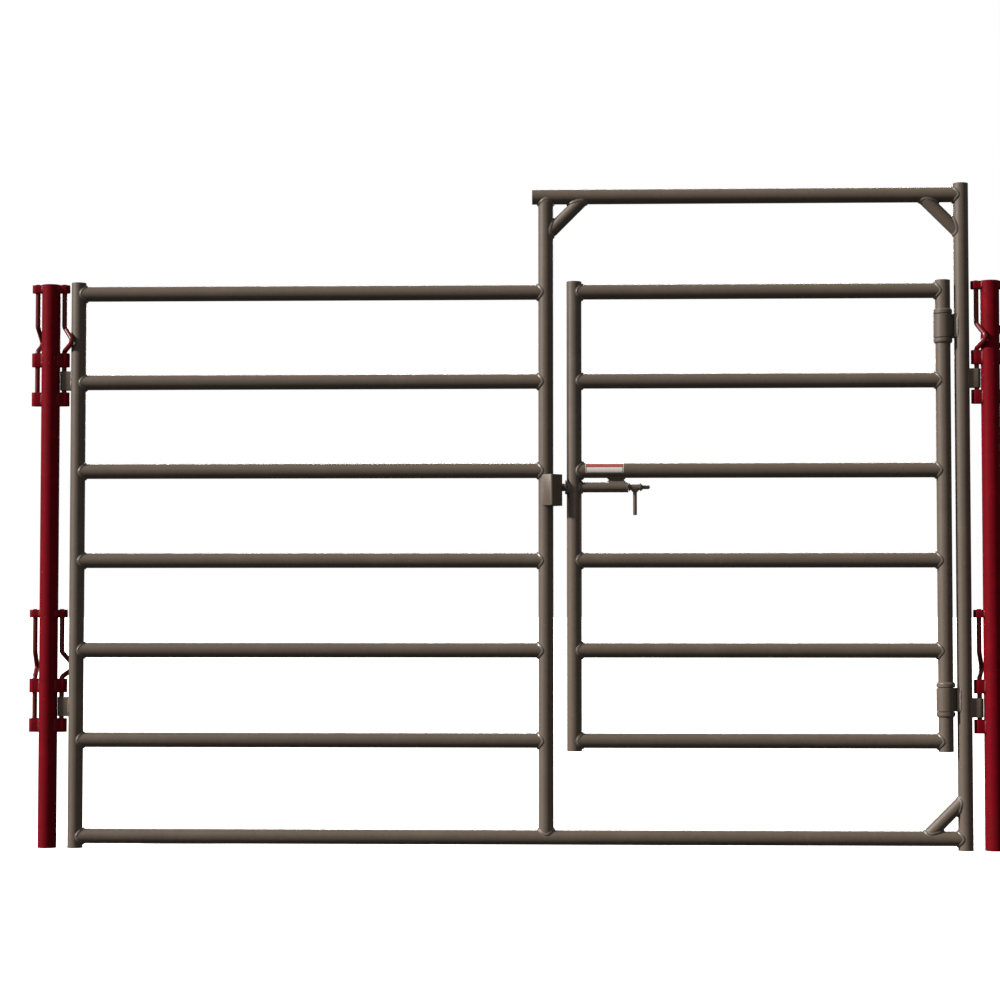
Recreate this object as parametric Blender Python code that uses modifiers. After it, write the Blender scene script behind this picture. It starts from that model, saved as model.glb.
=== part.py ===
"""Livestock panel with a built-in swing gate, hung between two pin posts.

All sizes are in metres. X runs along the panel, Y points away from the front and Z is up.
The origin is on the ground, midway between the two pin posts, in the plane of the panel.
"""

import math

import bmesh
import bpy
from mathutils import Matrix, Vector

# Layout along the panel
POST_SPACING = 3.048
BAY_WIDTH = 1.525
LATCH_CLEAR_GAP = 0.0432
HEADER_OVERHANG = 0.044

# Heights above the ground
PANEL_HEIGHT = 1.829
TOP_RAIL_DROP = 0.031
FIRST_RAIL_HEIGHT = 0.348
BOTTOM_RAIL_HEIGHT = 0.038
RAIL_COUNT = 6
UPRIGHT_ABOVE_RAIL = 0.037
GATE_UPRIGHT_OVERRUN = 0.034
HEADER_ABOVE_PANEL = 0.280

# Tube stock
TUBE_OUTER = 0.0483
TUBE_WALL = 0.0021
POST_OUTER = 0.0603
POST_WALL = 0.0039
BRACE_OUTER = 0.0422
BRACE_WALL = 0.0021
BRACE_REACH = 0.129

# Hinges of the swing gate: a sleeve runs round the gate's upright, between two collars
SLEEVE_PLAY = 0.0021
SLEEVE_WALL = 0.0039
SLEEVE_LENGTH = 0.076
COLLAR_LENGTH = 0.012
COLLAR_PLAY = 0.0015
HINGE_BELOW_TOP_RAIL = 0.115
HINGE_ABOVE_FIRST_RAIL = 0.133
BRACKET_NECK = 0.0059
BRACKET_DEPTH = 0.038

# Drop pins, each bent out to a kink that rests on the middle lug
PIN_DIAMETER = 0.0159
PIN_TIP_DROP = 0.014
PIN_HEAD_RISE = 0.015
KINK_OFFSET = 0.056
KINK_FOOT = 0.006
KINK_LOWER_RISE = 0.030
KINK_UPPER_RISE = 0.051
KINK_BEND_RADIUS = 0.014

# Ears on the panel, and the three lugs above and below them on the posts
EAR_HEIGHT = 0.062
EAR_THICKNESS = 0.0040
EAR_SIDE_PLAY = 0.0010
EAR_PIN_PLAY = 0.0005
EAR_STANDOFF = 0.02305
EAR_POST_GAP = 0.0012
EAR_REST_GAP = 0.00675
EAR_HEADROOM = 0.01475
LUG_THICKNESS = 0.006
LUG_SIDE_PLAY = 0.0010
LUG_REACH_PAST_PIN = 0.0182
LUG_HEIGHT = 0.0445
TOP_LUG_HEIGHT = 0.0254
TOP_LUG_DROP = 0.014
TOP_LUG_RISE = 0.361
LOWER_SET_HEIGHT = 0.395

# Slam latch: a sprung bolt in a tube under one gate rail
LATCH_RAIL = 4
NOSE_DIAMETER = 0.0254
NOSE_LENGTH = 0.070
NOSE_REACH = 0.033
NOSE_CHAMFER = 0.004
NOSE_PLAY = 0.0006
LATCH_TUBE_WALL = 0.0034
LATCH_TUBE_REACH = 0.147
LATCH_TUBE_PROUD = 0.001
SPACER_HEIGHT = 0.01315
SPACER_LENGTH = 0.050
SPACER_DEPTH = 0.0127
SPACER_FROM_END = 0.010
WASHER_THICKNESS = 0.0032
BOLT_ROD_DIAMETER = 0.0127
ROD_RUNNING_PLAY = 0.0004
HUB_WALL = 0.0034
HUB_LENGTH = 0.041
HUB_STANDOFF = 0.001
ROD_STUB = 0.028
HANDLE_DIAMETER = 0.0127
HANDLE_REACH = 0.090
SPRING_SIDE_PLAY = 0.00155
SPRING_WIRE = 0.0022
SPRING_TURNS = 8
FOLLOWER_THICKNESS = 0.002

# Strikes on the middle upright: two angle bars whose ramps the bolt rides over
STRIKE_APEX_FROM_UPRIGHT = 0.020
STRIKE_APEX_DEPTH = 0.053
STRIKE_RAMP = 0.0465
STRIKE_THICKNESS = 0.0048
STRIKE_HEIGHT = 0.100
STRIKE_DROP = 0.009

# Gap kept between faces that touch, and how finely round pieces are drawn
JOINT_GAP = 0.0003
TUBE_SIDES = 20
BEND_STEPS = 6
SPRING_POINTS_PER_TURN = 10
END_OVERRUN = 0.02

# Fits: what runs on, holds or clears another piece takes its size from that piece
SLEEVE_OUTER = TUBE_OUTER + 2 * (SLEEVE_PLAY + SLEEVE_WALL)
HINGE_GAP = SLEEVE_OUTER / 2 + BRACKET_NECK + TUBE_OUTER / 2
LATCH_GAP = TUBE_OUTER + LATCH_CLEAR_GAP
PIN_OFFSET = (
    POST_OUTER / 2 + EAR_POST_GAP + EAR_THICKNESS + EAR_PIN_PLAY + PIN_DIAMETER / 2
)
POST_TO_UPRIGHT = PIN_OFFSET + EAR_STANDOFF + TUBE_OUTER / 2
EAR_INNER_RADIUS = PIN_DIAMETER / 2 + EAR_SIDE_PLAY
EAR_RISE = LUG_HEIGHT / 2 + EAR_REST_GAP + EAR_HEIGHT / 2
LUG_INNER_RADIUS = PIN_DIAMETER / 2 + LUG_SIDE_PLAY
LUG_REACH = PIN_OFFSET + LUG_REACH_PAST_PIN
MIDDLE_LUG_RISE = LUG_HEIGHT + EAR_REST_GAP + EAR_HEIGHT + EAR_HEADROOM
LATCH_TUBE_OUTER = NOSE_DIAMETER + 2 * (NOSE_PLAY + LATCH_TUBE_WALL)
LATCH_DROP = TUBE_OUTER / 2 + SPACER_HEIGHT + LATCH_TUBE_OUTER / 2
HUB_DIAMETER = BOLT_ROD_DIAMETER + 2 * HUB_WALL
SPRING_OUTER = LATCH_TUBE_OUTER - 2 * (LATCH_TUBE_WALL + SPRING_SIDE_PLAY)

# Axes and heights that follow from the sizes above
LEFT_POST_X = -POST_SPACING / 2
RIGHT_POST_X = POST_SPACING / 2
LEFT_UPRIGHT_X = LEFT_POST_X + POST_TO_UPRIGHT
RIGHT_UPRIGHT_X = RIGHT_POST_X - POST_TO_UPRIGHT
MIDDLE_UPRIGHT_X = LEFT_UPRIGHT_X + BAY_WIDTH
LATCH_UPRIGHT_X = MIDDLE_UPRIGHT_X + LATCH_GAP
HINGE_UPRIGHT_X = RIGHT_UPRIGHT_X - HINGE_GAP
TOP_RAIL_HEIGHT = PANEL_HEIGHT - TOP_RAIL_DROP
RAIL_PITCH = (TOP_RAIL_HEIGHT - FIRST_RAIL_HEIGHT) / (RAIL_COUNT - 1)
RAIL_HEIGHTS = [FIRST_RAIL_HEIGHT + n * RAIL_PITCH for n in range(RAIL_COUNT)]
HEADER_HEIGHT = PANEL_HEIGHT + HEADER_ABOVE_PANEL
LATCH_RAIL_HEIGHT = RAIL_HEIGHTS[LATCH_RAIL - 1]
LATCH_HEIGHT = LATCH_RAIL_HEIGHT - LATCH_DROP
HINGE_HEIGHTS = {
    "upper": TOP_RAIL_HEIGHT - HINGE_BELOW_TOP_RAIL,
    "lower": FIRST_RAIL_HEIGHT + HINGE_ABOVE_FIRST_RAIL,
}
UPPER_SET_HEIGHT = PANEL_HEIGHT - TOP_LUG_DROP - TOP_LUG_RISE
PIN_SETS = {"upper": UPPER_SET_HEIGHT, "lower": LOWER_SET_HEIGHT}
LUGS = ((0.0, LUG_HEIGHT), (MIDDLE_LUG_RISE, LUG_HEIGHT), (TOP_LUG_RISE, TOP_LUG_HEIGHT))

# Which way each drop pin's kink points, in degrees round Z from +X
KINK_TURNS = {
    ("left", "inner", "upper"): -48,
    ("left", "inner", "lower"): 50,
    ("left", "outer", "upper"): 84,
    ("left", "outer", "lower"): 96,
    ("right", "inner", "upper"): -62,
    ("right", "inner", "lower"): 73,
    ("right", "outer", "upper"): 118,
    ("right", "outer", "lower"): -100,
}

# Finishes: linear colour, roughness, metallic
FINISHES = {
    "taupe_paint": ((0.105, 0.088, 0.070), 0.42, 0.0),
    "red_paint": ((0.225, 0.008, 0.016), 0.40, 0.0),
    "bare_steel": ((0.330, 0.320, 0.300), 0.35, 1.0),
    "zinc_plate": ((0.480, 0.470, 0.450), 0.30, 1.0),
}


def clear_scene():
    for old in list(bpy.data.objects):
        bpy.data.objects.remove(old, do_unlink=True)


def new_collection(name):
    made = bpy.data.collections.new(name)
    bpy.context.scene.collection.children.link(made)
    return made


def make_finish(name, colour, roughness, metallic):
    finish = bpy.data.materials.new(name)
    finish.use_nodes = True
    shader = finish.node_tree.nodes["Principled BSDF"]
    shader.inputs["Base Color"].default_value = (*colour, 1.0)
    shader.inputs["Roughness"].default_value = roughness
    shader.inputs["Metallic"].default_value = metallic
    return finish


def along(start, end):
    """Placement that carries a shape drawn from the origin up Z onto the line from start to end.

    A line that isn't upright is turned by half a facet, so its edges cross between an upright's.
    """
    direction = Vector(end) - Vector(start)
    half_facet = math.pi / TUBE_SIDES if direction.xy.length else 0.0
    turn = direction.to_track_quat("Z", "Y").to_matrix().to_4x4()
    return Matrix.Translation(start) @ turn @ Matrix.Rotation(half_facet, 4, "Z")


def upright_line(x, low, high):
    return (x, 0.0, low), (x, 0.0, high)


def rail_line(height, left, right):
    return (left, 0.0, height), (right, 0.0, height)


def add_object(name, data, finish=None, placement=None):
    """Links a new object for the data: into the gate's collection, or the cutters' with no finish."""
    made = bpy.data.objects.new(name, data)
    made.matrix_world = placement or Matrix.Identity(4)
    if finish:
        gate_collection.objects.link(made)
        data.materials.append(finishes[finish])
    else:
        cutter_collection.objects.link(made)
        made.hide_render = True
        made.display_type = "WIRE"
    return made


def shade_round(mesh):
    mesh.shade_smooth()
    mesh.set_sharp_from_angle(angle=math.radians(40))


def rod(name, start, end, diameter, finish=None):
    """A solid round bar from start to end."""
    length = (Vector(end) - Vector(start)).length
    shape = bmesh.new()
    bmesh.ops.create_cone(
        shape,
        cap_ends=True,
        segments=TUBE_SIDES,
        radius1=diameter / 2,
        radius2=diameter / 2,
        depth=length,
        matrix=Matrix.Translation((0.0, 0.0, length / 2)),
    )
    mesh = bpy.data.meshes.new(name)
    shape.to_mesh(mesh)
    shape.free()
    shade_round(mesh)
    return add_object(name, mesh, finish, along(start, end))


def turned(name, profile, finish, placement):
    """A turned piece: a closed profile of (radius, height) points, its outer side running down."""
    mesh = bpy.data.meshes.new(name)
    points = [(radius, 0.0, height) for radius, height in profile]
    joined = [(n, (n + 1) % len(points)) for n in range(len(points))]
    mesh.from_pydata(points, joined, [])
    piece = add_object(name, mesh, finish, placement)
    screw = piece.modifiers.new("Turn", "SCREW")
    screw.steps = TUBE_SIDES
    screw.render_steps = TUBE_SIDES
    screw.use_merge_vertices = True
    screw.merge_threshold = 1e-5
    return piece


def pipe(name, start, end, outer, wall, finish):
    """A round tube with open ends, from start to end."""
    length = (Vector(end) - Vector(start)).length
    outside = outer / 2
    inside = outside - wall
    profile = [(outside, length), (outside, 0.0), (inside, 0.0), (inside, length)]
    return turned(name, profile, finish, along(start, end))


def frame_tube(name, line):
    return pipe(name, *line, TUBE_OUTER, TUBE_WALL, "taupe_paint")


def clearance_cutter(name, line, outer):
    """What a neighbour of a round tube is cut with: the tube's outside and the joint gap."""
    start, end = Vector(line[0]), Vector(line[1])
    overrun = (end - start).normalized() * END_OVERRUN
    return rod(f"cut_{name}", start - overrun, end + overrun, outer + 2 * JOINT_GAP)


def cut(piece, *cutters):
    for cutter in cutters:
        modifier = piece.modifiers.new(f"Cope {cutter.name}", "BOOLEAN")
        modifier.operation = "DIFFERENCE"
        modifier.solver = "EXACT"
        modifier.object = cutter
    return piece


def mesh_from_curve(name, curve):
    """The closed mesh of a curve whose ends are filled, with its caps welded on."""
    drawn = bpy.data.objects.new(name, curve)
    bpy.context.scene.collection.objects.link(drawn)
    graph = bpy.context.evaluated_depsgraph_get()
    mesh = bpy.data.meshes.new_from_object(drawn.evaluated_get(graph))
    bpy.data.objects.remove(drawn)
    welded = bmesh.new()
    welded.from_mesh(mesh)
    bmesh.ops.remove_doubles(welded, verts=welded.verts, dist=1e-6)
    welded.to_mesh(mesh)
    welded.free()
    shade_round(mesh)
    return mesh


def extruded(name, outline, height, placement, finish=None):
    """A flat outline drawn in XY, given a height that its middle plane halves."""
    curve = bpy.data.curves.new(name, "CURVE")
    curve.dimensions = "2D"
    curve.fill_mode = "BOTH"
    curve.extrude = height / 2
    spline = curve.splines.new("POLY")
    spline.points.add(len(outline) - 1)
    for point, (x, y) in zip(spline.points, outline):
        point.co = (x, y, 0.0, 1.0)
    spline.use_cyclic_u = True
    return add_object(name, mesh_from_curve(name, curve), finish, placement)


def bent_rod(name, path, diameter, finish, placement, bevel_resolution):
    """A round rod that follows a list of points, with flat ends."""
    curve = bpy.data.curves.new(name, "CURVE")
    curve.dimensions = "3D"
    curve.bevel_depth = diameter / 2
    curve.bevel_resolution = bevel_resolution
    curve.use_fill_caps = True
    spline = curve.splines.new("POLY")
    spline.points.add(len(path) - 1)
    for point, place in zip(spline.points, path):
        point.co = (*place, 1.0)
    return add_object(name, mesh_from_curve(name, curve), finish, placement)


def arc(radius, start, end):
    """Points on a circle round the origin, from one angle to another in degrees."""
    steps = [start + (end - start) * n / BEND_STEPS for n in range(BEND_STEPS + 1)]
    return [(radius * math.cos(math.radians(a)), radius * math.sin(math.radians(a))) for a in steps]


def strap_outline(inner_radius, thickness, leg):
    """Plan of a strap bent to a U round the origin, its two legs running towards -X."""
    outer_radius = inner_radius + thickness
    outside = [(-leg, -outer_radius), *arc(outer_radius, -90, 90), (-leg, outer_radius)]
    inside = [(-leg, inner_radius), *arc(inner_radius, 90, -90), (-leg, -inner_radius)]
    return outside + inside


def rounded_path(corners, radius):
    """The corners' path with an arc of the given radius in place of each inner corner."""
    path = [corners[0]]
    for before, corner, after in zip(corners, corners[1:], corners[2:]):
        back = (before - corner).normalized()
        ahead = (after - corner).normalized()
        half_angle = back.angle(ahead) / 2
        centre = corner + (back + ahead).normalized() * radius / math.sin(half_angle)
        first = corner + back * radius / math.tan(half_angle) - centre
        last = corner + ahead * radius / math.tan(half_angle) - centre
        steps = BEND_STEPS // 2
        sweep = first.angle(last)
        turn_axis = first.cross(last)
        for n in range(steps + 1):
            path.append(centre + Matrix.Rotation(sweep * n / steps, 3, turn_axis) @ first)
    return path + [corners[-1]]


def turn_about_z(degrees):
    return Matrix.Rotation(math.radians(degrees), 4, "Z")


def axis_empty(name, place):
    """An empty on a joint's axis, which carries the pieces that the joint moves."""
    empty = bpy.data.objects.new(name, None)
    empty.location = place
    empty.empty_display_size = 0.1
    gate_collection.objects.link(empty)
    return empty


def hang_on(empty, pieces):
    for piece in pieces:
        piece.parent = empty
        piece.matrix_parent_inverse = Matrix.Translation(empty.location).inverted()


def make_cutters():
    """Clearance cutters for the tubes that others are coped or welded to, by their names."""
    top = HEADER_HEIGHT + UPRIGHT_ABOVE_RAIL
    header_left = MIDDLE_UPRIGHT_X - HEADER_OVERHANG
    panel_rail_right = MIDDLE_UPRIGHT_X - END_OVERRUN
    lines = {
        "left_upright": upright_line(LEFT_UPRIGHT_X, 0.0, top),
        "middle_upright": upright_line(MIDDLE_UPRIGHT_X, 0.0, top),
        "right_upright": upright_line(RIGHT_UPRIGHT_X, 0.0, top),
        "gate_latch_upright": upright_line(LATCH_UPRIGHT_X, 0.0, top),
        "gate_hinge_upright": upright_line(HINGE_UPRIGHT_X, 0.0, top),
        "bottom_rail": rail_line(BOTTOM_RAIL_HEIGHT, LEFT_UPRIGHT_X, RIGHT_UPRIGHT_X),
        "header_rail": rail_line(HEADER_HEIGHT, header_left, RIGHT_UPRIGHT_X),
        "panel_latch_rail": rail_line(LATCH_RAIL_HEIGHT, LEFT_UPRIGHT_X, panel_rail_right),
        "gate_latch_rail": rail_line(LATCH_RAIL_HEIGHT, LATCH_UPRIGHT_X, HINGE_UPRIGHT_X),
    }
    return {name: clearance_cutter(name, line, TUBE_OUTER) for name, line in lines.items()}


def make_panel_frame(cutters):
    """The fixed panel: uprights, rails and the tall door frame round the swing gate."""
    side_top = TOP_RAIL_HEIGHT + UPRIGHT_ABOVE_RAIL
    frame_top = HEADER_HEIGHT + UPRIGHT_ABOVE_RAIL
    frame_tube("left_upright", upright_line(LEFT_UPRIGHT_X, 0.0, side_top))
    frame_tube("right_upright", upright_line(RIGHT_UPRIGHT_X, 0.0, frame_top))
    middle = upright_line(MIDDLE_UPRIGHT_X, BOTTOM_RAIL_HEIGHT, HEADER_HEIGHT)
    cut(frame_tube("middle_upright", middle), cutters["bottom_rail"], cutters["header_rail"])

    bottom = rail_line(BOTTOM_RAIL_HEIGHT, LEFT_UPRIGHT_X, RIGHT_UPRIGHT_X)
    cut(frame_tube("bottom_rail", bottom), cutters["left_upright"], cutters["right_upright"])
    header_left = MIDDLE_UPRIGHT_X - HEADER_OVERHANG
    header = rail_line(HEADER_HEIGHT, header_left, RIGHT_UPRIGHT_X)
    cut(frame_tube("header_rail", header), cutters["right_upright"])
    for number, height in enumerate(RAIL_HEIGHTS, start=1):
        line = rail_line(height, LEFT_UPRIGHT_X, MIDDLE_UPRIGHT_X)
        rail = frame_tube(f"panel_rail_{number}", line)
        cut(rail, cutters["left_upright"], cutters["middle_upright"])


def make_corner_brace(name, x, height, side, rise, cutters):
    """A 45 degree tube across a corner, between points the same distance out along its two tubes."""
    on_upright = (x, 0.0, height + rise * BRACE_REACH)
    on_rail = (x + side * BRACE_REACH, 0.0, height)
    cut(pipe(name, on_upright, on_rail, BRACE_OUTER, BRACE_WALL, "taupe_paint"), *cutters)


def make_corner_braces(cutters):
    middle, right = cutters["middle_upright"], cutters["right_upright"]
    header, bottom = cutters["header_rail"], cutters["bottom_rail"]
    corners = (
        ("brace_header_left", MIDDLE_UPRIGHT_X, HEADER_HEIGHT, 1, -1, (middle, header)),
        ("brace_header_right", RIGHT_UPRIGHT_X, HEADER_HEIGHT, -1, -1, (right, header)),
        ("brace_bottom_right", RIGHT_UPRIGHT_X, BOTTOM_RAIL_HEIGHT, -1, 1, (right, bottom)),
    )
    for corner in corners:
        make_corner_brace(*corner)


def make_hinges(cutters):
    """Sleeves held off the right upright by saddle brackets. Returns the collars on the gate."""
    collars = []
    bore = TUBE_OUTER + 2 * JOINT_GAP
    for level, height in HINGE_HEIGHTS.items():
        low = height - SLEEVE_LENGTH / 2
        high = height + SLEEVE_LENGTH / 2
        line = upright_line(HINGE_UPRIGHT_X, low, high)
        pipe(f"hinge_sleeve_{level}", *line, SLEEVE_OUTER, SLEEVE_WALL, "taupe_paint")
        sleeve_cutter = clearance_cutter(f"hinge_sleeve_{level}", line, SLEEVE_OUTER)

        half_depth = BRACKET_DEPTH / 2
        outline = [
            (0.0, -half_depth),
            (HINGE_GAP, -half_depth),
            (HINGE_GAP, half_depth),
            (0.0, half_depth),
        ]
        place = Matrix.Translation((HINGE_UPRIGHT_X, 0.0, height))
        name = f"hinge_bracket_{level}"
        bracket = extruded(name, outline, SLEEVE_LENGTH, place, "taupe_paint")
        cut(bracket, sleeve_cutter, cutters["right_upright"])

        collar_wall = (SLEEVE_OUTER - bore) / 2
        for side, base in (
            ("top", high + COLLAR_PLAY),
            ("bottom", low - COLLAR_PLAY - COLLAR_LENGTH),
        ):
            collar_line = upright_line(HINGE_UPRIGHT_X, base, base + COLLAR_LENGTH)
            name = f"hinge_collar_{level}_{side}"
            collar = pipe(name, *collar_line, SLEEVE_OUTER, collar_wall, "taupe_paint")
            collars.append(collar)
    return collars


def make_gate_leaf(cutters):
    """The swing gate's own two uprights and rails. Returns its pieces and the latch upright."""
    low = FIRST_RAIL_HEIGHT - GATE_UPRIGHT_OVERRUN
    high = TOP_RAIL_HEIGHT + GATE_UPRIGHT_OVERRUN
    latch_upright = frame_tube("gate_latch_upright", upright_line(LATCH_UPRIGHT_X, low, high))
    hinge_upright = frame_tube("gate_hinge_upright", upright_line(HINGE_UPRIGHT_X, low, high))
    rails = []
    for number, height in enumerate(RAIL_HEIGHTS, start=1):
        line = rail_line(height, LATCH_UPRIGHT_X, HINGE_UPRIGHT_X)
        rail = frame_tube(f"gate_rail_{number}", line)
        cut(rail, cutters["gate_latch_upright"], cutters["gate_hinge_upright"])
        rails.append(rail)
    return [latch_upright, hinge_upright, *rails], latch_upright


def make_latch_housing(cutters, latch_upright):
    """The tube that the bolt slides in, through the gate's latch upright. Returns its pieces."""
    left = LATCH_UPRIGHT_X - TUBE_OUTER / 2 - LATCH_TUBE_PROUD
    right = LATCH_UPRIGHT_X + TUBE_OUTER / 2 + LATCH_TUBE_REACH
    line = rail_line(LATCH_HEIGHT, left, right)
    tube = pipe("latch_tube", *line, LATCH_TUBE_OUTER, LATCH_TUBE_WALL, "taupe_paint")
    tube_cutter = clearance_cutter("latch_tube", line, LATCH_TUBE_OUTER)
    cut(latch_upright, tube_cutter)

    spacer_right = right - SPACER_FROM_END
    half_depth = SPACER_DEPTH / 2
    outline = [
        (spacer_right - SPACER_LENGTH, -half_depth),
        (spacer_right, -half_depth),
        (spacer_right, half_depth),
        (spacer_right - SPACER_LENGTH, half_depth),
    ]
    place = Matrix.Translation((0.0, 0.0, LATCH_HEIGHT + LATCH_DROP / 2))
    spacer = extruded("latch_spacer", outline, LATCH_DROP, place, "taupe_paint")
    cut(spacer, tube_cutter, cutters["gate_latch_rail"])

    bore = BOLT_ROD_DIAMETER / 2 + ROD_RUNNING_PLAY
    washer_line = rail_line(
        LATCH_HEIGHT, right + JOINT_GAP, right + JOINT_GAP + WASHER_THICKNESS
    )
    wall = LATCH_TUBE_OUTER / 2 - bore
    washer = pipe("latch_end_washer", *washer_line, LATCH_TUBE_OUTER, wall, "taupe_paint")
    return [tube, spacer, washer]


def make_latch_bolt():
    """The bolt with its hub and handle, the spring behind its nose and the spring's follower."""
    tube_end = LATCH_UPRIGHT_X + TUBE_OUTER / 2 + LATCH_TUBE_REACH
    nose_tip = LATCH_UPRIGHT_X - TUBE_OUTER / 2 - LATCH_TUBE_PROUD - NOSE_REACH
    nose_back = nose_tip + NOSE_LENGTH
    hub_left = tube_end + JOINT_GAP + WASHER_THICKNESS + HUB_STANDOFF
    rod_end = hub_left + HUB_LENGTH + ROD_STUB
    nose = NOSE_DIAMETER / 2
    thin = BOLT_ROD_DIAMETER / 2
    round_end = [
        (rod_end - thin + thin * math.cos(math.radians(a)), thin * math.sin(math.radians(a)))
        for a in range(15, 90, 15)
    ]
    stations = [
        (nose_tip, nose - NOSE_CHAMFER),
        (nose_tip + NOSE_CHAMFER, nose),
        (nose_back, nose),
        (nose_back, thin),
        (rod_end - thin, thin),
        *reversed(round_end),
    ]
    profile = [(0.0, rod_end), *((radius, x) for x, radius in reversed(stations)), (0.0, nose_tip)]
    mesh = bpy.data.meshes.new("latch_bolt")
    points = [(radius, 0.0, x - nose_tip) for radius, x in profile]
    mesh.from_pydata(points, [(n, n + 1) for n in range(len(points) - 1)], [])
    place = along((nose_tip, 0.0, LATCH_HEIGHT), (rod_end, 0.0, LATCH_HEIGHT))
    bolt = add_object("latch_bolt", mesh, "bare_steel", place)
    screw = bolt.modifiers.new("Turn", "SCREW")
    screw.steps = TUBE_SIDES
    screw.render_steps = TUBE_SIDES
    screw.use_merge_vertices = True
    screw.merge_threshold = 1e-5

    hub_line = rail_line(LATCH_HEIGHT, hub_left, hub_left + HUB_LENGTH)
    hub_wall = HUB_DIAMETER / 2 - thin - JOINT_GAP
    hub = pipe("latch_hub", *hub_line, HUB_DIAMETER, hub_wall, "taupe_paint")
    hub_cutter = clearance_cutter("latch_hub", hub_line, HUB_DIAMETER)
    handle_x = hub_left + HUB_LENGTH / 2
    handle_line = (handle_x, 0.0, LATCH_HEIGHT), (handle_x, 0.0, LATCH_HEIGHT - HANDLE_REACH)
    handle = cut(rod("latch_handle", *handle_line, HANDLE_DIAMETER, "taupe_paint"), hub_cutter)

    follower_left = nose_back + JOINT_GAP
    follower_right = follower_left + FOLLOWER_THICKNESS
    follower_wall = SPRING_OUTER / 2 - thin - ROD_RUNNING_PLAY
    follower_line = rail_line(LATCH_HEIGHT, follower_left, follower_right)
    follower = pipe("spring_follower", *follower_line, SPRING_OUTER, follower_wall, "zinc_plate")

    coil_radius = (SPRING_OUTER - SPRING_WIRE) / 2
    coil_start = follower_right + JOINT_GAP + SPRING_WIRE / 2
    coil_length = tube_end - SPRING_WIRE / 2 - coil_start
    count = SPRING_TURNS * SPRING_POINTS_PER_TURN
    helix = []
    for n in range(count + 1):
        turn = math.tau * n / SPRING_POINTS_PER_TURN
        helix.append(
            (coil_radius * math.cos(turn), coil_radius * math.sin(turn), coil_length * n / count)
        )
    place = along((coil_start, 0.0, LATCH_HEIGHT), (tube_end, 0.0, LATCH_HEIGHT))
    bent_rod("latch_spring", helix, SPRING_WIRE, "zinc_plate", place, 2)
    return [bolt, hub, handle], follower


def make_strikes(cutters):
    """Two angle bars on the middle upright: ramps that push the bolt back, with a pocket between."""
    for side, name in ((-1, "strike_front"), (1, "strike_back")):
        apex = Vector((MIDDLE_UPRIGHT_X + STRIKE_APEX_FROM_UPRIGHT, side * STRIKE_APEX_DEPTH))
        to_upright = Vector((MIDDLE_UPRIGHT_X, 0.0)) - apex
        leg = to_upright.dot(Vector((-1.0, -side)).normalized())
        ramp_side = [(0.0, 0.0), (STRIKE_RAMP, 0.0), (STRIKE_RAMP, STRIKE_THICKNESS)]
        leg_side = [(STRIKE_THICKNESS, STRIKE_THICKNESS), (STRIKE_THICKNESS, leg), (0.0, leg)]
        outline = ramp_side + leg_side
        if side > 0:
            outline = [(y, x) for x, y in reversed(outline)]
        height = LATCH_HEIGHT - STRIKE_DROP
        turn = turn_about_z(45 if side < 0 else -135)
        place = Matrix.Translation((*apex, height)) @ turn
        strike = extruded(name, outline, STRIKE_HEIGHT, place, "taupe_paint")
        cut(strike, cutters["middle_upright"], cutters["panel_latch_rail"])


def make_ears(cutters):
    """Bent straps on the outer uprights that the inner drop pins pass through."""
    shift = EAR_INNER_RADIUS - PIN_DIAMETER / 2 - EAR_PIN_PLAY
    for side, post_x, upright in (("left", LEFT_POST_X, -1), ("right", RIGHT_POST_X, 1)):
        pin_x = post_x - upright * PIN_OFFSET
        bend_x = pin_x - upright * shift
        leg = POST_TO_UPRIGHT - PIN_OFFSET - shift
        outline = strap_outline(EAR_INNER_RADIUS, EAR_THICKNESS, leg)
        for level, height in PIN_SETS.items():
            place = Matrix.Translation((bend_x, 0.0, height + EAR_RISE))
            if upright < 0:
                place = place @ turn_about_z(180)
            ear = extruded(f"ear_{side}_{level}", outline, EAR_HEIGHT, place, "taupe_paint")
            cut(ear, cutters[f"{side}_upright"])


def make_pin_post(side, post_x):
    """A round post with three pin lugs at two levels on each side, all welded on."""
    bend_x = LUG_REACH - LUG_THICKNESS - LUG_INNER_RADIUS
    outline = strap_outline(LUG_INNER_RADIUS, LUG_THICKNESS, bend_x)
    name = f"pin_post_{side}"
    line = upright_line(post_x, 0.0, PANEL_HEIGHT)
    post = rod(name, *line, POST_OUTER, "red_paint")
    for level, base in PIN_SETS.items():
        for facing in (1, -1):
            for number, (rise, height) in enumerate(LUGS, start=1):
                place = Matrix.Translation((post_x + facing * bend_x, 0.0, base + rise))
                if facing < 0:
                    place = place @ turn_about_z(180)
                lug_name = f"lug_{side}_{level}_{facing}_{number}"
                lug = extruded(lug_name, outline, height, place)
                weld = post.modifiers.new(f"Weld {lug_name}", "BOOLEAN")
                weld.operation = "UNION"
                weld.solver = "EXACT"
                weld.object = lug
    below = Vector((post_x, 0.0, -END_OVERRUN))
    above = Vector((post_x, 0.0, PANEL_HEIGHT + END_OVERRUN))
    cut(post, rod(f"bore_{name}", below, above, POST_OUTER - 2 * POST_WALL))
    return post


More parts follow.
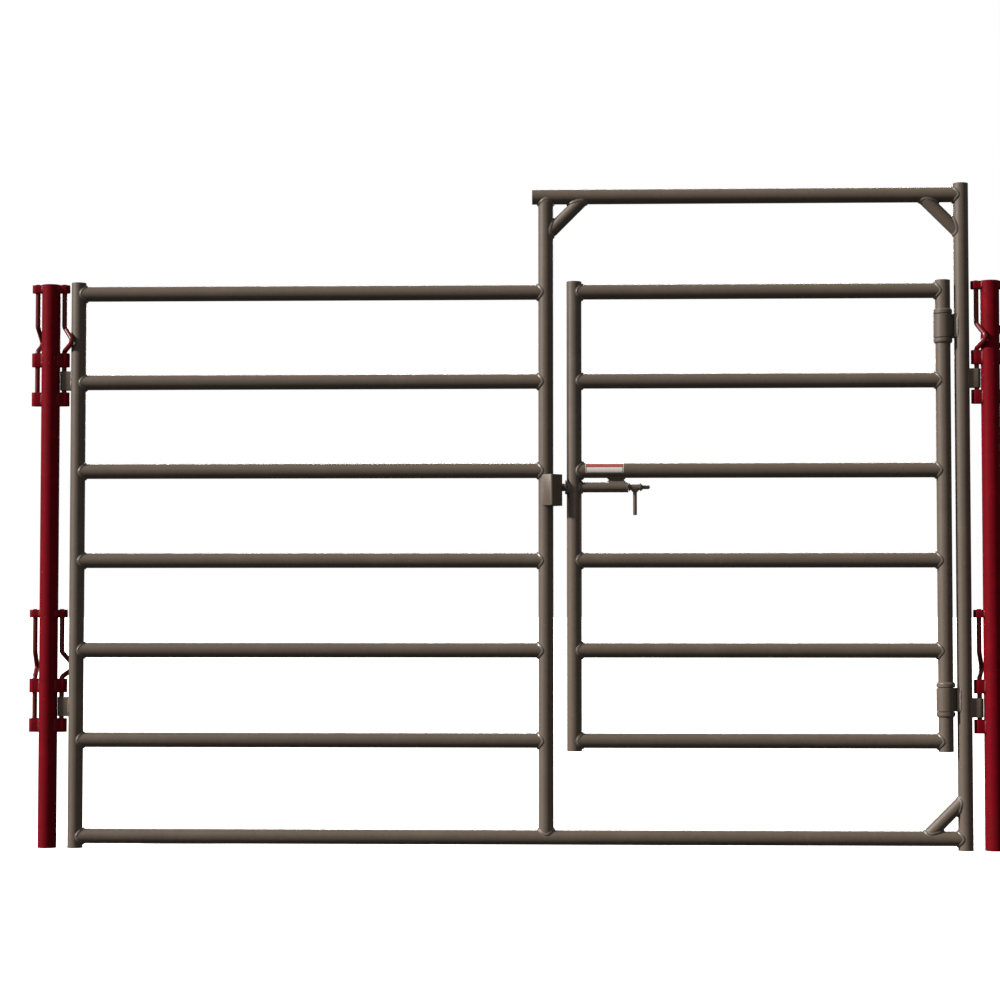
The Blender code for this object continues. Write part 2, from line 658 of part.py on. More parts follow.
def make_drop_pin(name, x, base, kink_turn):
    """A round pin through one set of lugs, with a kink that stops it on the middle lug."""
    foot = MIDDLE_LUG_RISE + LUG_HEIGHT / 2 + KINK_FOOT
    elbow = foot + KINK_LOWER_RISE
    corners = [
        Vector((0.0, 0.0, -PIN_TIP_DROP)),
        Vector((0.0, 0.0, foot)),
        Vector((KINK_OFFSET, 0.0, elbow)),
        Vector((0.0, 0.0, elbow + KINK_UPPER_RISE)),
        Vector((0.0, 0.0, TOP_LUG_RISE + PIN_HEAD_RISE)),
    ]
    path = rounded_path(corners, KINK_BEND_RADIUS)
    place = Matrix.Translation((x, 0.0, base)) @ turn_about_z(kink_turn)
    return bent_rod(name, path, PIN_DIAMETER, "red_paint", place, 3)


def make_posts_and_pins():
    """Both posts with their drop pins. Each post swivels on the pins next to the panel."""
    for side, post_x, inward in (("left", LEFT_POST_X, 1), ("right", RIGHT_POST_X, -1)):
        swivel = axis_empty(f"{side}_post_swivel", (post_x + inward * PIN_OFFSET, 0.0, 0.0))
        hang_on(swivel, [make_pin_post(side, post_x)])
        for row, facing in (("inner", inward), ("outer", -inward)):
            for level, base in PIN_SETS.items():
                name = f"drop_pin_{side}_{row}_{level}"
                x = post_x + facing * PIN_OFFSET
                pin = make_drop_pin(name, x, base, KINK_TURNS[side, row, level])
                if (side, row) != ("left", "inner"):
                    hang_on(swivel, [pin])


def main():
    cutters = make_cutters()
    make_panel_frame(cutters)
    make_corner_braces(cutters)
    make_strikes(cutters)
    make_ears(cutters)
    collars = make_hinges(cutters)
    leaf, latch_upright = make_gate_leaf(cutters)
    housing = make_latch_housing(cutters, latch_upright)
    bolt, follower = make_latch_bolt()
    gate_axis = axis_empty("gate_hinge_axis", (HINGE_UPRIGHT_X, 0.0, 0.0))
    hang_on(gate_axis, leaf + collars + housing)
    make_posts_and_pins()
    latch_axis = axis_empty("latch_axis", (LATCH_UPRIGHT_X, 0.0, LATCH_HEIGHT))
    hang_on(latch_axis, [*bolt, follower])


clear_scene()
gate_collection = new_collection("livestock_panel_gate")
cutter_collection = new_collection("cutters")
finishes = {name: make_finish(name, *values) for name, values in FINISHES.items()}
main()
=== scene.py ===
"""Livestock panel with a built-in swing gate, hung between two pin posts.

Metres throughout. X runs along the panel, Y points away from the front and Z is up. Every piece
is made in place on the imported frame, rides on one of its bodies and stands for one of its nodes.
"""

import logging
import math
from dataclasses import dataclass, field
from enum import Enum
from typing import Callable, Sequence

import bmesh
import bpy
from mathutils import Matrix, Vector, noise


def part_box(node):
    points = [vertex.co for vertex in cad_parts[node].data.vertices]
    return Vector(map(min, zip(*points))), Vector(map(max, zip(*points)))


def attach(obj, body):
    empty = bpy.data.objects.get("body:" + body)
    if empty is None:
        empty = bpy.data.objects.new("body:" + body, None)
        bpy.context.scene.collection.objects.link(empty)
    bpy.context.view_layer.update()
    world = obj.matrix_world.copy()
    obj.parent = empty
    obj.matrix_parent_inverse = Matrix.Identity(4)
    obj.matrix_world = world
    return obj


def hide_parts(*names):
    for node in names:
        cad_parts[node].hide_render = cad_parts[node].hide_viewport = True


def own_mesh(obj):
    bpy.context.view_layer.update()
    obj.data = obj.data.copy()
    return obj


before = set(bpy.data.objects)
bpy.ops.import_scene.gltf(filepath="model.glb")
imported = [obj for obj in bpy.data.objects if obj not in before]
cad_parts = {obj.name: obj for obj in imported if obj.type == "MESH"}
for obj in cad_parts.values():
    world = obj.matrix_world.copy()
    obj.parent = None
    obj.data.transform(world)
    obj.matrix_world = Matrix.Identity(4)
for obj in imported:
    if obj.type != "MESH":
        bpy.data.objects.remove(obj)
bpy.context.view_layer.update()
ACROSS = Vector((0.0, 1.0, 0.0))
UP = Vector((0.0, 0.0, 1.0))
ALONG = Vector((1.0, 0.0, 0.0))
# The panel's and the gate's tube, and how far its coped ends stop short of what they meet
TUBE = 0.0483
WALL = 0.0021
MOUTH_GAP = 0.0016
# The inside of the bend in an ear or lug
STRAP_BEND = 0.00895
# How far a drop pin's tip hangs below the middle of its lowest lug
PIN_TIP_DROP = 0.014
# The distance between two points of a weld's seam
SEAM_STEP = 0.0008
# A rounded rectangle's corners: which way each lies, and the angle at which its arc starts
CORNERS = ((1, 1, 0), (-1, 1, 90), (-1, -1, 180), (1, -1, 270))

log = logging.getLogger("panel_gate")

Colour = tuple[float, float, float, float]
Ring = list[Vector]


class Slot(Enum):
    """The record's finish slots."""

    PANEL = "panel_paint"
    GATE = "gate_paint"
    LATCH = "latch_paint"
    POST = "post_paint"
    PIN = "pin_paint"
    BOLT = "bolt_steel"
    SPRING = "spring_steel"


class Side(Enum):
    """Which end of the panel, as a step along X."""

    LEFT = -1
    RIGHT = 1

    @property
    def word(self) -> str:
        """The side's name as the nodes spell it."""
        return self.name.lower()


class Level(Enum):
    """The two heights at which hinges and pin sets sit."""

    UPPER = "upper"
    LOWER = "lower"


def linear(hex_colour: str) -> Colour:
    """Turns an sRGB hex colour into linear light.

    Args:
        hex_colour: "#rrggbb".

    Returns:
        Linear red, green, blue and an alpha of 1.
    """
    channels = [int(hex_colour[n : n + 2], 16) / 255 for n in (1, 3, 5)]
    red, green, blue = (
        c / 12.92 if c <= 0.04045 else ((c + 0.055) / 1.055) ** 2.4 for c in channels
    )
    return red, green, blue, 1.0


def per_metre(size_mm: float) -> float:
    """How many features of this size in millimetres there are in a metre, as texture scales ask."""
    return 1000.0 / size_mm


def middle(node: str) -> Vector:
    """The middle of a CAD node's box."""
    low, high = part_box(node)
    return (low + high) / 2


def spot(x: float, z: float) -> Vector:
    """A place on the panel's middle plane."""
    return Vector((x, 0.0, z))


def add_node(
    tree: bpy.types.NodeTree,
    kind: str,
    links: dict[int | str, bpy.types.NodeSocket] | None = None,
    values: dict[int | str, float | Colour | Vector] | None = None,
    **settings: object,
) -> bpy.types.Node:
    """Adds one shader node.

    Args:
        tree: The tree that takes it.
        kind: Blender's name for the node's type.
        links: The outputs that feed its inputs, by input.
        values: Values of its other inputs.
        settings: The node's own settings.

    Returns:
        The node.
    """
    node = tree.nodes.new(kind)
    for key, value in settings.items():
        setattr(node, key, value)
    for socket, value in (values or {}).items():
        node.inputs[socket].default_value = value
    for socket, source in (links or {}).items():
        tree.links.new(source, node.inputs[socket])
    return node


@dataclass
class Palette:
    """The nodes that every finish here shares while its material is put together."""

    name: str
    material: bpy.types.Material = field(init=False)
    tree: bpy.types.NodeTree = field(init=False)
    place: bpy.types.NodeSocket = field(init=False)

    def __post_init__(self) -> None:
        """Starts an empty material whose patterns lie in the object's own metres."""
        self.material = bpy.data.materials.new(self.name)
        self.material.use_nodes = True
        self.tree = self.material.node_tree
        self.tree.nodes.clear()
        self.place = add_node(self.tree, "ShaderNodeTexCoord").outputs["Object"]

    def grain(self, size_mm: float, detail: float, rough: float = 0.5) -> bpy.types.NodeSocket:
        """A noise whose features are about this many millimetres across."""
        values = {"Scale": per_metre(size_mm), "Detail": detail, "Roughness": rough}
        return add_node(self.tree, "ShaderNodeTexNoise", {"Vector": self.place}, values).outputs[0]

    def spread(
        self, source: bpy.types.NodeSocket, low: float, high: float, out_low: float, out_high: float
    ) -> bpy.types.NodeSocket:
        """Carries a range of one value onto another range, and holds it there."""
        values = {1: low, 2: high, 3: out_low, 4: out_high}
        return add_node(self.tree, "ShaderNodeMapRange", {0: source}, values).outputs[0]

    def times(self, a: bpy.types.NodeSocket, b: bpy.types.NodeSocket) -> bpy.types.NodeSocket:
        """The product of two values."""
        return add_node(self.tree, "ShaderNodeMath", {0: a, 1: b}, operation="MULTIPLY").outputs[0]

    def blend(
        self, share: bpy.types.NodeSocket, under: bpy.types.NodeSocket | str, over: str
    ) -> bpy.types.NodeSocket:
        """Lays a colour over another.

        Args:
            share: How much of the upper colour shows, from 0 to 1.
            under: The lower colour, as hex or as an output.
            over: The upper colour, as hex.

        Returns:
            The blended colour.
        """
        links, values = {0: share}, {7: linear(over)}
        if isinstance(under, str):
            values[6] = linear(under)
        else:
            links[6] = under
        return add_node(self.tree, "ShaderNodeMix", links, values, data_type="RGBA").outputs[2]

    def bump(
        self,
        height: bpy.types.NodeSocket,
        depth_mm: float,
        strength: float,
        under: bpy.types.NodeSocket | None = None,
    ) -> bpy.types.NodeSocket:
        """Roughens the surface by a height.

        Args:
            height: The height, from 0 to 1.
            depth_mm: How deep that is.
            strength: How much of it is felt.
            under: An earlier bump that this one lies on.

        Returns:
            The bumped normal.
        """
        links = {"Height": height}
        if under is not None:
            links["Normal"] = under
        values = {"Distance": depth_mm / 1000, "Strength": strength}
        return add_node(self.tree, "ShaderNodeBump", links, values).outputs["Normal"]

    def finish(
        self, links: dict[int | str, bpy.types.NodeSocket], values: dict[int | str, float | Colour]
    ) -> bpy.types.Material:
        """Closes the material with its shader.

        Args:
            links: The outputs that feed the shader, by input.
            values: Values of its other inputs.

        Returns:
            The material.
        """
        shader = add_node(self.tree, "ShaderNodeBsdfPrincipled", links, values)
        add_node(self.tree, "ShaderNodeOutputMaterial", {"Surface": shader.outputs[0]})
        return self.material


@dataclass(frozen=True)
class SprayedEnamel:
    """Air-dried enamel sprayed on mill-finish steel tube.

    It gives the eye a satin skin with a broad soft highlight: shallow orange peel, thick and thin
    passes of the gun as faint blotches, yard dust on what faces up and near the ground, and small
    chips down to the primer.
    """

    name: str
    colour: str
    thin_pass: str
    heavy_pass: str
    chip: str
    dust: str
    roughness: float
    gloss: float = 0.5
    # A gun's overlapping passes are a hand wide
    pass_mm: float = 110.0
    mottle_mm: float = 14.0
    # Orange peel is 1 to 2 mm across: drawn at 3 mm so that it shows
    peel_mm: float = 3.0
    peel_depth_mm: float = 0.10
    # Stone chips are 1 to 3 mm across: the noise's peaks are about a third of this size
    chip_mm: float = 7.0
    chip_cut: float = 0.735
    dust_share: float = 0.30

    def make(self) -> bpy.types.Material:
        """Builds the finish.

        Returns:
            The material.
        """
        p = Palette(self.name)
        gun, mottle = p.grain(self.pass_mm, 3.0), p.grain(self.mottle_mm, 5.0, 0.6)
        chips = p.grain(self.chip_mm, 3.0, 0.55)
        colour = p.blend(p.spread(gun, 0.50, 0.72, 0.0, 0.75), self.colour, self.thin_pass)
        colour = p.blend(p.spread(mottle, 0.48, 0.70, 0.0, 0.55), colour, self.heavy_pass)
        geometry = add_node(p.tree, "ShaderNodeNewGeometry")
        facing = add_node(p.tree, "ShaderNodeSeparateXYZ", {0: geometry.outputs["Normal"]})
        height = add_node(p.tree, "ShaderNodeSeparateXYZ", {0: p.place})
        lying = p.times(
            p.spread(facing.outputs[2], 0.35, 1.0, 0.0, self.dust_share),
            p.spread(mottle, 0.35, 0.65, 0.35, 1.0),
        )
        splash = p.times(
            p.spread(height.outputs[2], 0.02, 0.30, self.dust_share, 0.0),
            p.spread(p.grain(24.0, 6.0, 0.65), 0.42, 0.60, 0.0, 1.0),
        )
        colour = p.blend(splash, p.blend(lying, colour, self.dust), self.dust)
        bare = p.spread(chips, self.chip_cut, self.chip_cut + 0.012, 0.0, 1.0)
        colour = p.blend(bare, colour, self.chip)
        rough = p.spread(mottle, 0.3, 0.7, self.roughness - 0.07, self.roughness + 0.09)
        skin = p.bump(p.grain(self.peel_mm, 2.0), self.peel_depth_mm, 0.6)
        skin = p.bump(p.spread(bare, 0.0, 1.0, 1.0, 0.0), 0.08, 0.8, skin)
        values = {"IOR": 1.5, "Specular IOR Level": self.gloss}
        return p.finish({"Base Color": colour, "Roughness": rough, "Normal": skin}, values)


@dataclass(frozen=True)
class EnamelledWeld:
    """Hand-laid weld under the same coat of enamel.

    It gives the eye tight glints on each ripple, darker hollows where the paint pooled, and the
    grit of slag and spatter that the coat didn't hide.
    """

    name: str
    colour: str
    pooled: str
    crest: str
    roughness: float
    gloss: float = 0.5
    # Slag grit is under 1 mm: drawn at 1.6 mm so that it shows
    grit_mm: float = 1.6

    def make(self) -> bpy.types.Material:
        """Builds the finish.

        Returns:
            The material.
        """
        p = Palette(self.name)
        patch = p.grain(9.0, 4.0, 0.6)
        geometry = add_node(p.tree, "ShaderNodeNewGeometry")
        colour = p.blend(p.spread(patch, 0.45, 0.65, 0.0, 0.8), self.colour, self.pooled)
        worn = p.spread(geometry.outputs["Pointiness"], 0.51, 0.57, 0.0, 0.5)
        colour = p.blend(worn, colour, self.crest)
        rough = p.spread(patch, 0.3, 0.7, self.roughness - 0.08, self.roughness + 0.10)
        skin = p.bump(p.grain(self.grit_mm, 3.0, 0.6), 0.25, 0.7)
        values = {"IOR": 1.5, "Specular IOR Level": self.gloss}
        return p.finish({"Base Color": colour, "Roughness": rough, "Normal": skin}, values)


@dataclass(frozen=True)
class RubbedSteel:
    """Cold-drawn steel bar with its paint rubbed off by sliding.

    It gives the eye a grey metal with scratches run along the bar, dull brown where rust has
    started and brighter where it has been polished by use.
    """

    name: str = "rubbed_drawn_steel"
    metal: str = "#6a645c"
    dull: str = "#41372f"
    # Slide marks are hair-fine: drawn 0.5 mm wide and 30 mm long so that they show
    mark_mm: tuple[float, float] = (30.0, 0.5)
    roughness: float = 0.44

    def make(self) -> bpy.types.Material:
        """Builds the finish.

        Returns:
            The material.
        """
        p = Palette(self.name)
        long_way, wide = self.mark_mm
        scale = Vector((per_metre(long_way), per_metre(wide), per_metre(wide)))
        stretched = add_node(
            p.tree, "ShaderNodeMapping", {"Vector": p.place}, {"Scale": scale}
        ).outputs[0]
        marks = add_node(
            p.tree, "ShaderNodeTexNoise", {"Vector": stretched}, {"Scale": 1.0, "Detail": 3.0}
        ).outputs[0]
        stain = p.grain(11.0, 5.0, 0.65)
        colour = p.blend(p.spread(stain, 0.46, 0.66, 0.0, 0.85), self.metal, self.dull)
        rough = p.spread(marks, 0.3, 0.7, self.roughness - 0.10, self.roughness + 0.16)
        skin = p.bump(marks, 0.06, 0.5)
        links = {"Base Color": colour, "Roughness": rough, "Normal": skin}
        return p.finish(links, {"Metallic": 1.0})


@dataclass(frozen=True)
class ZincWire:
    """Spring wire with a thin plate of zinc.

    It gives the eye a cool light grey with a soft sheen and small dull spangles.
    """

    name: str = "zinc_plated_wire"
    metal: str = "#b4b6b4"
    dull: str = "#85857f"
    spangle_mm: float = 4.0

    def make(self) -> bpy.types.Material:
        """Builds the finish.

        Returns:
            The material.
        """
        p = Palette(self.name)
        spangle = p.grain(self.spangle_mm, 4.0, 0.6)
        colour = p.blend(p.spread(spangle, 0.42, 0.62, 0.0, 0.8), self.metal, self.dull)
        rough = p.spread(spangle, 0.3, 0.7, 0.26, 0.46)
        skin = p.bump(spangle, 0.04, 0.5)
        links = {"Base Color": colour, "Roughness": rough, "Normal": skin}
        return p.finish(links, {"Metallic": 1.0})


@dataclass(frozen=True)
class PrintedFilm:
    """Vinyl film printed in one flat colour and stuck on.

    It gives the eye a smooth, slightly glossy, even colour, faintly yellowed and scuffed.
    """

    name: str
    colour: str
    scuff: str

    def make(self) -> bpy.types.Material:
        """Builds the finish.

        Returns:
            The material.
        """
        p = Palette(self.name)
        wear = p.grain(6.0, 6.0, 0.7)
        colour = p.blend(p.spread(wear, 0.50, 0.74, 0.0, 0.45), self.colour, self.scuff)
        rough = p.spread(wear, 0.3, 0.7, 0.30, 0.44)
        skin = p.bump(p.grain(9.0, 2.0), 0.04, 0.5)
        return p.finish({"Base Color": colour, "Roughness": rough, "Normal": skin}, {"IOR": 1.5})


@dataclass(frozen=True)
class PaleConcrete:
    """Floated concrete painted near white, which gives the eye a plain, matt, pale floor.

    Its own faint light keeps the shadows on it pale.
    """

    name: str = "pale_painted_concrete"
    colour: str = "#e9e9e7"
    patch: str = "#e2e2e0"

    def make(self) -> bpy.types.Material:
        """Builds the finish.

        Returns:
            The material.
        """
        p = Palette(self.name)
        colour = p.blend(p.spread(p.grain(900.0, 3.0), 0.4, 0.6, 0.0, 1.0), self.colour, self.patch)
        glow = {"Emission Color": linear(self.colour), "Emission Strength": 0.7}
        dull = {"Roughness": 0.9, "Specular IOR Level": 0.1}
        return p.finish({"Base Color": colour}, {**dull, **glow})


class Finish(Enum):
    """Every finish in the scene."""

    TAUPE = SprayedEnamel(
        "taupe_sprayed_enamel",
        "#52463b",
        "#594d41",
        "#483c32",
        "#7d7060",
        "#5f5446",
        0.46,
        gloss=0.34,
        dust_share=0.20,
    )
    TAUPE_WELD = EnamelledWeld("taupe_enamelled_weld", "#53483e", "#372e26", "#80756a", 0.36)
    RED = SprayedEnamel(
        "red_sprayed_enamel",
        "#60040e",
        "#6c0610",
        "#47060c",
        "#7a4540",
        "#561412",
        0.50,
        gloss=0.04,
        pass_mm=60.0,
        mottle_mm=20.0,
        chip_cut=0.725,
        dust_share=0.18,
    )
    RED_WELD = EnamelledWeld("red_enamelled_weld", "#5c0610", "#38060b", "#7c2024", 0.42, 0.16)
    RED_BAR = SprayedEnamel(
        "red_enamelled_bar",
        "#5a0d0f",
        "#661011",
        "#40090b",
        "#7a4a42",
        "#5c1b18",
        0.36,
        gloss=0.26,
        pass_mm=60.0,
        mottle_mm=12.0,
        dust_share=0.22,
    )
    STEEL = RubbedSteel()
    ZINC = ZincWire()
    LABEL_FACE = PrintedFilm("label_off_white_film", "#bdb8ae", "#8f887c")
    LABEL_LINE = PrintedFilm("label_dark_line", "#3a3733", "#5c5750")
    LABEL_BAND = PrintedFilm("label_muted_band", "#8a3a36", "#8b6a60")
    FLOOR = PaleConcrete()

    @property
    def material(self) -> bpy.types.Material:
        """The finish's material, made the first time that it is asked for."""
        return bpy.data.materials.get(self.value.name) or self.value.make()


WELDED = (Finish.TAUPE, Finish.TAUPE_WELD)


@dataclass(frozen=True)
class Cylinder:
    """The outside of a round tube, as something that others meet.

    Ends that are fish-mouthed to it stop short by the clearance, which their weld fills.
    """

    point: Vector
    direction: Vector
    radius: float
    clearance: float = 0.0

    def hit(self, origin: Vector, heading: Vector) -> float | None:
        """How far a line runs before it meets the surface.

        Args:
            origin: Where the line starts, outside the cylinder.
            heading: Its unit direction.

        Returns:
            The distance in metres, or None where the line passes by.
        """
        offset = origin - self.point
        offset = offset - self.direction * offset.dot(self.direction)
        flat = heading - self.direction * heading.dot(self.direction)
        square = flat.length_squared
        half = offset.dot(flat)
        reach = self.radius + self.clearance
        root = half * half - square * (offset.length_squared - reach * reach)
        if square < 1e-12 or root < 0.0:
            return None
        distance = (-half - math.sqrt(root)) / square
        return distance if distance > 0.0 else None

    def landing(self, start: Vector, heading: Vector) -> Vector:
        """Where a line meets the surface, or its own start where it passes by."""
        return start + heading * (self.hit(start, heading) or 0.0)

    def normal_at(self, place: Vector) -> Vector:
        """The surface's outward direction beside a place."""
        offset = place - self.point
        return (offset - self.direction * offset.dot(self.direction)).normalized()


@dataclass(frozen=True)
class SeamPoint:
    """One point of a welded seam: where stock and host meet, and which way each faces."""

    place: Vector
    stock_normal: Vector
    host_normal: Vector
    away: Vector
    sink: float = 0.0


@dataclass
class Form:
    """The corners and faces of one piece while it is being made."""

    corners: list[Vector] = field(default_factory=list)
    faces: list[tuple[int, ...]] = field(default_factory=list)
    finish_numbers: list[int] = field(default_factory=list)

    def add_face(self, face: tuple[int, ...], finish: int) -> None:
        """Adds one face with the number of its finish."""
        self.faces.append(face)
        self.finish_numbers.append(finish)

    def loft(
        self,
        rings: Sequence[Ring],
        finish: int = 0,
        looped: bool = False,
        pick: Callable[[int, int], int] | None = None,
    ) -> None:
        """Skins a row of closed rings.

        Args:
            rings: Rings with the same number of points each.
            finish: The number of the finish.
            looped: Joins the last ring to the first. Otherwise both ends are capped.
            pick: Gives the finish's number by ring and point instead.
        """
        base, count = len(self.corners), len(rings[0])
        for ring in rings:
            self.corners.extend(ring)
        for n in range(len(rings) if looped else len(rings) - 1):
            here, there = base + n * count, base + (n + 1) % len(rings) * count
            for k in range(count):
                nxt = (k + 1) % count
                number = pick(n, k) if pick else finish
                self.add_face((here + k, here + nxt, there + nxt, there + k), number)
        if not looped:
            last = base + (len(rings) - 1) * count
            self.add_face(tuple(range(base, base + count)), finish)
            self.add_face(tuple(range(last + count - 1, last - 1, -1)), finish)

    def turn(
        self,
        start: Vector,
        heading: Vector,
        profile: Sequence[tuple[float, float]],
        looped: bool = False,
        sides: int = 64,
        finish: int = 0,
    ) -> None:
        """Turns a profile round an axis, as on a lathe.

        Args:
            start: Where the axis starts.
            heading: The axis's unit direction, at right angles to Y.
            profile: (radius, distance along the axis) points.
            looped: Joins the profile's last point to its first, for a ring or sleeve.
            sides: How many flats the circle is drawn with.
            finish: The number of the finish.
        """
        rings = [circle(start + heading * step, heading, radius, sides) for radius, step in profile]
        self.loft(rings, finish, looped)

    def sweep(self, path: Sequence[Vector], radius: float, sides: int, chamfer: float) -> None:
        """Runs a round bar along a path, with chamfered ends.

        Args:
            path: The bar's middle line.
            radius: Its radius.
            sides: How many flats its circle is drawn with.
            chamfer: The size of the chamfers.
        """
        first, last = path[0], path[-1]
        lead, tail = (path[1] - first).normalized(), (path[-2] - last).normalized()
        stops = [first, first + lead * chamfer, *path[1:-1], last + tail * chamfer, last]
        side = lead.orthogonal().normalized()
        rings = []
        for n, stop in enumerate(stops):
            before, after = stops[max(n - 1, 0)], stops[min(n + 1, len(stops) - 1)]
            heading = (after - before).normalized()
            side = (side - heading * side.dot(heading)).normalized()
            other = heading.cross(side)
            size = radius - chamfer if n in (0, len(stops) - 1) else radius
            turns = [math.tau * k / sides for k in range(sides)]
            rings.append([stop + (side * math.cos(t) + other * math.sin(t)) * size for t in turns])
        self.loft(rings)

    def prism(self, outline: Sequence[Vector], low: float, high: float, edge: float) -> None:
        """Stands an outline in plan up, with broken edges.

        Args:
            outline: The outline.
            low: The height of its underside.
            high: The height of its top.
            edge: How much is broken off each edge.
        """
        small = inset(outline, edge)
        levels = ((small, low), (outline, low + edge), (outline, high - edge), (small, high))
        self.loft([[Vector((p.x, p.y, z)) for p in plan] for plan, z in levels])

    def mesh(self, name: str) -> bpy.types.Mesh:
        """Makes the mesh, with its faces turned outwards.

        Args:
            name: The mesh's name.

        Returns:
            The mesh.
        """
        mesh = bpy.data.meshes.new(name)
        mesh.from_pydata([tuple(c) for c in self.corners], [], self.faces)
        for face, number in zip(mesh.polygons, self.finish_numbers):
            face.material_index = number
        turned = bmesh.new()
        turned.from_mesh(mesh)
        bmesh.ops.recalc_face_normals(turned, faces=turned.faces)
        turned.to_mesh(mesh)
        turned.free()
        mesh.shade_smooth()
        mesh.set_sharp_from_angle(angle=math.radians(38))
        return mesh

    def piece(
        self,
        name: str,
        body: str,
        slot: Slot,
        finishes: Sequence[Finish],
        node: str | None = None,
    ) -> bpy.types.Object:
        """Makes the object, dresses it and sets it on its body.

        Args:
            name: The piece's name.
            body: The body that it rides on.
            slot: The record's slot for its finish. Not used.
            finishes: Its finishes, in the order of their numbers.
            node: The CAD node that it stands for.

        Returns:
            The object.
        """
        made = bpy.data.objects.new(name, self.mesh(name))
        bpy.context.scene.collection.objects.link(made)
        for finish in finishes:
            made.data.materials.append(finish.material)
        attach(made, body)
        if node:
            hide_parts(node)
        log.info("%s: %d faces on %s", name, len(self.faces), body)
        return made


def inset(outline: Sequence[Vector], depth: float) -> list[Vector]:
    """Moves every side of an outline in plan inwards.

    Args:
        outline: The outline.
        depth: How far.

    Returns:
        The smaller outline.
    """
    pairs = list(zip(outline, [*outline[1:], outline[0]]))
    sign = math.copysign(1.0, sum(a.x * b.y - b.x * a.y for a, b in pairs))
    moved = []
    for n, (here, after) in enumerate(pairs):
        back, ahead = (here - outline[n - 1]).normalized(), (after - here).normalized()
        inward = Vector((-back.y - ahead.y, back.x + ahead.x, 0.0)) * sign
        moved.append(here + inward * (2 * depth / max(inward.length_squared, 0.5)))
    return moved


def circle(centre: Vector, heading: Vector, radius: float, sides: int) -> Ring:
    """A ring of points round an axis that is at right angles to Y.

    Args:
        centre: Its centre.
        heading: The axis's unit direction.
        radius: Its radius.
        sides: How many points it has.

    Returns:
        The ring.
    """
    rise = heading.cross(ACROSS)
    turns = [math.tau * n / sides for n in range(sides)]
    return [centre + (rise * math.cos(t) + ACROSS * math.sin(t)) * radius for t in turns]


def ring_profile(
    bore: float, outside: float, length: float, edge: float
) -> list[tuple[float, float]]:
    """The profile of a ring or sleeve whose outer edges are broken.

    Args:
        bore: The radius of its hole.
        outside: Its outer radius.
        length: Its length.
        edge: How much is broken off each outer edge.

    Returns:
        (radius, distance along the axis) points.
    """
    near, far = [(outside - edge, 0.0), (outside, edge)], [(outside, length - edge)]
    return [(bore, 0.0), *near, *far, (outside - edge, length), (bore, length)]


def standing_tube(node: str, clearance: float = 0.0) -> Cylinder:
    """The outside of an upright tube, from its node's place."""
    return Cylinder(middle(node), UP, TUBE / 2, clearance)


def lying_tube(node: str, clearance: float = 0.0) -> Cylinder:
    """The outside of a level tube, from its node's place."""
    return Cylinder(middle(node), ALONG, TUBE / 2, clearance)


@dataclass(frozen=True)
class WeldBead:
    """A fillet laid by hand along a seam, in overlapping ripples."""

    leg: float = 0.0052
    ripple: float = 0.0032
    crown: float = 0.17
    wander: float = 0.16
    arc_steps: int = 8

    def lay(self, form: Form, seam: Sequence[SeamPoint], closed: bool, finish: int = 1) -> None:
        """Adds the bead to a form.

        Args:
            form: The form that takes it.
            seam: Evenly spaced points along the seam.
            closed: Whether the seam runs round to its start. Otherwise both ends taper out.
            finish: The number of its finish.
        """
        run, rings, count = 0.0, [], len(seam)
        for n, point in enumerate(seam):
            before = seam[n - 1 if closed else max(n - 1, 0)].place
            after = seam[(n + 1) % count if closed else min(n + 1, count - 1)].place
            tangent = (after - before).normalized()
            run += (after - before).length / 2
            taper = 1.0
            if not closed:
                taper = min(1.0, 0.25 + 0.75 * math.sqrt(4 * min(n, count - 1 - n) / count))
            rings.append(self.section(point, tangent, run, taper))
        form.loft(rings, finish, looped=closed)

    def section(self, point: SeamPoint, tangent: Vector, run: float, taper: float) -> Ring:
        """The bead's outline across the seam at one point.

        Args:
            point: The point.
            tangent: The seam's direction there.
            run: How far along the seam it is, which sets the ripple.
            taper: The bead's share of its full size.

        Returns:
            The outline.
        """
        face = tangent.cross(point.stock_normal).normalized()
        on_stock = face if face.dot(point.away) > 0 else -face
        face = tangent.cross(point.host_normal).normalized()
        outward = point.stock_normal - point.away * 0.5
        on_host = face if face.dot(outward) > 0 else -face
        open_way = (point.stock_normal + point.host_normal).normalized()
        rise = (open_way - on_stock * open_way.dot(on_stock)).normalized()
        corner = min(math.radians(168), on_stock.angle(on_host))
        drift = noise.noise(Vector((run * 70, point.place.x * 7, point.place.z * 7)))
        leg = self.leg * taper * (1 + self.wander * drift)
        ring = [point.place - open_way * leg * 0.35]
        for step in range(self.arc_steps + 1):
            share = step / self.arc_steps
            belly = math.sin(math.pi * share)
            phase = (run / self.ripple + 0.55 * (2 * share - 1) ** 2 + 0.4 * drift) % 1.0
            chord = math.cos(corner / 2) / math.cos(corner * (share - 0.5))
            crown = self.crown * belly + 0.13 * belly * (0.5 - phase * phase)
            turn = corner * share
            way = on_stock * math.cos(turn) + rise * math.sin(turn)
            drop = point.host_normal * (point.sink * share + 0.0004 * share * share)
            ring.append(point.place + way * leg * (chord + crown) - drop)
        return ring


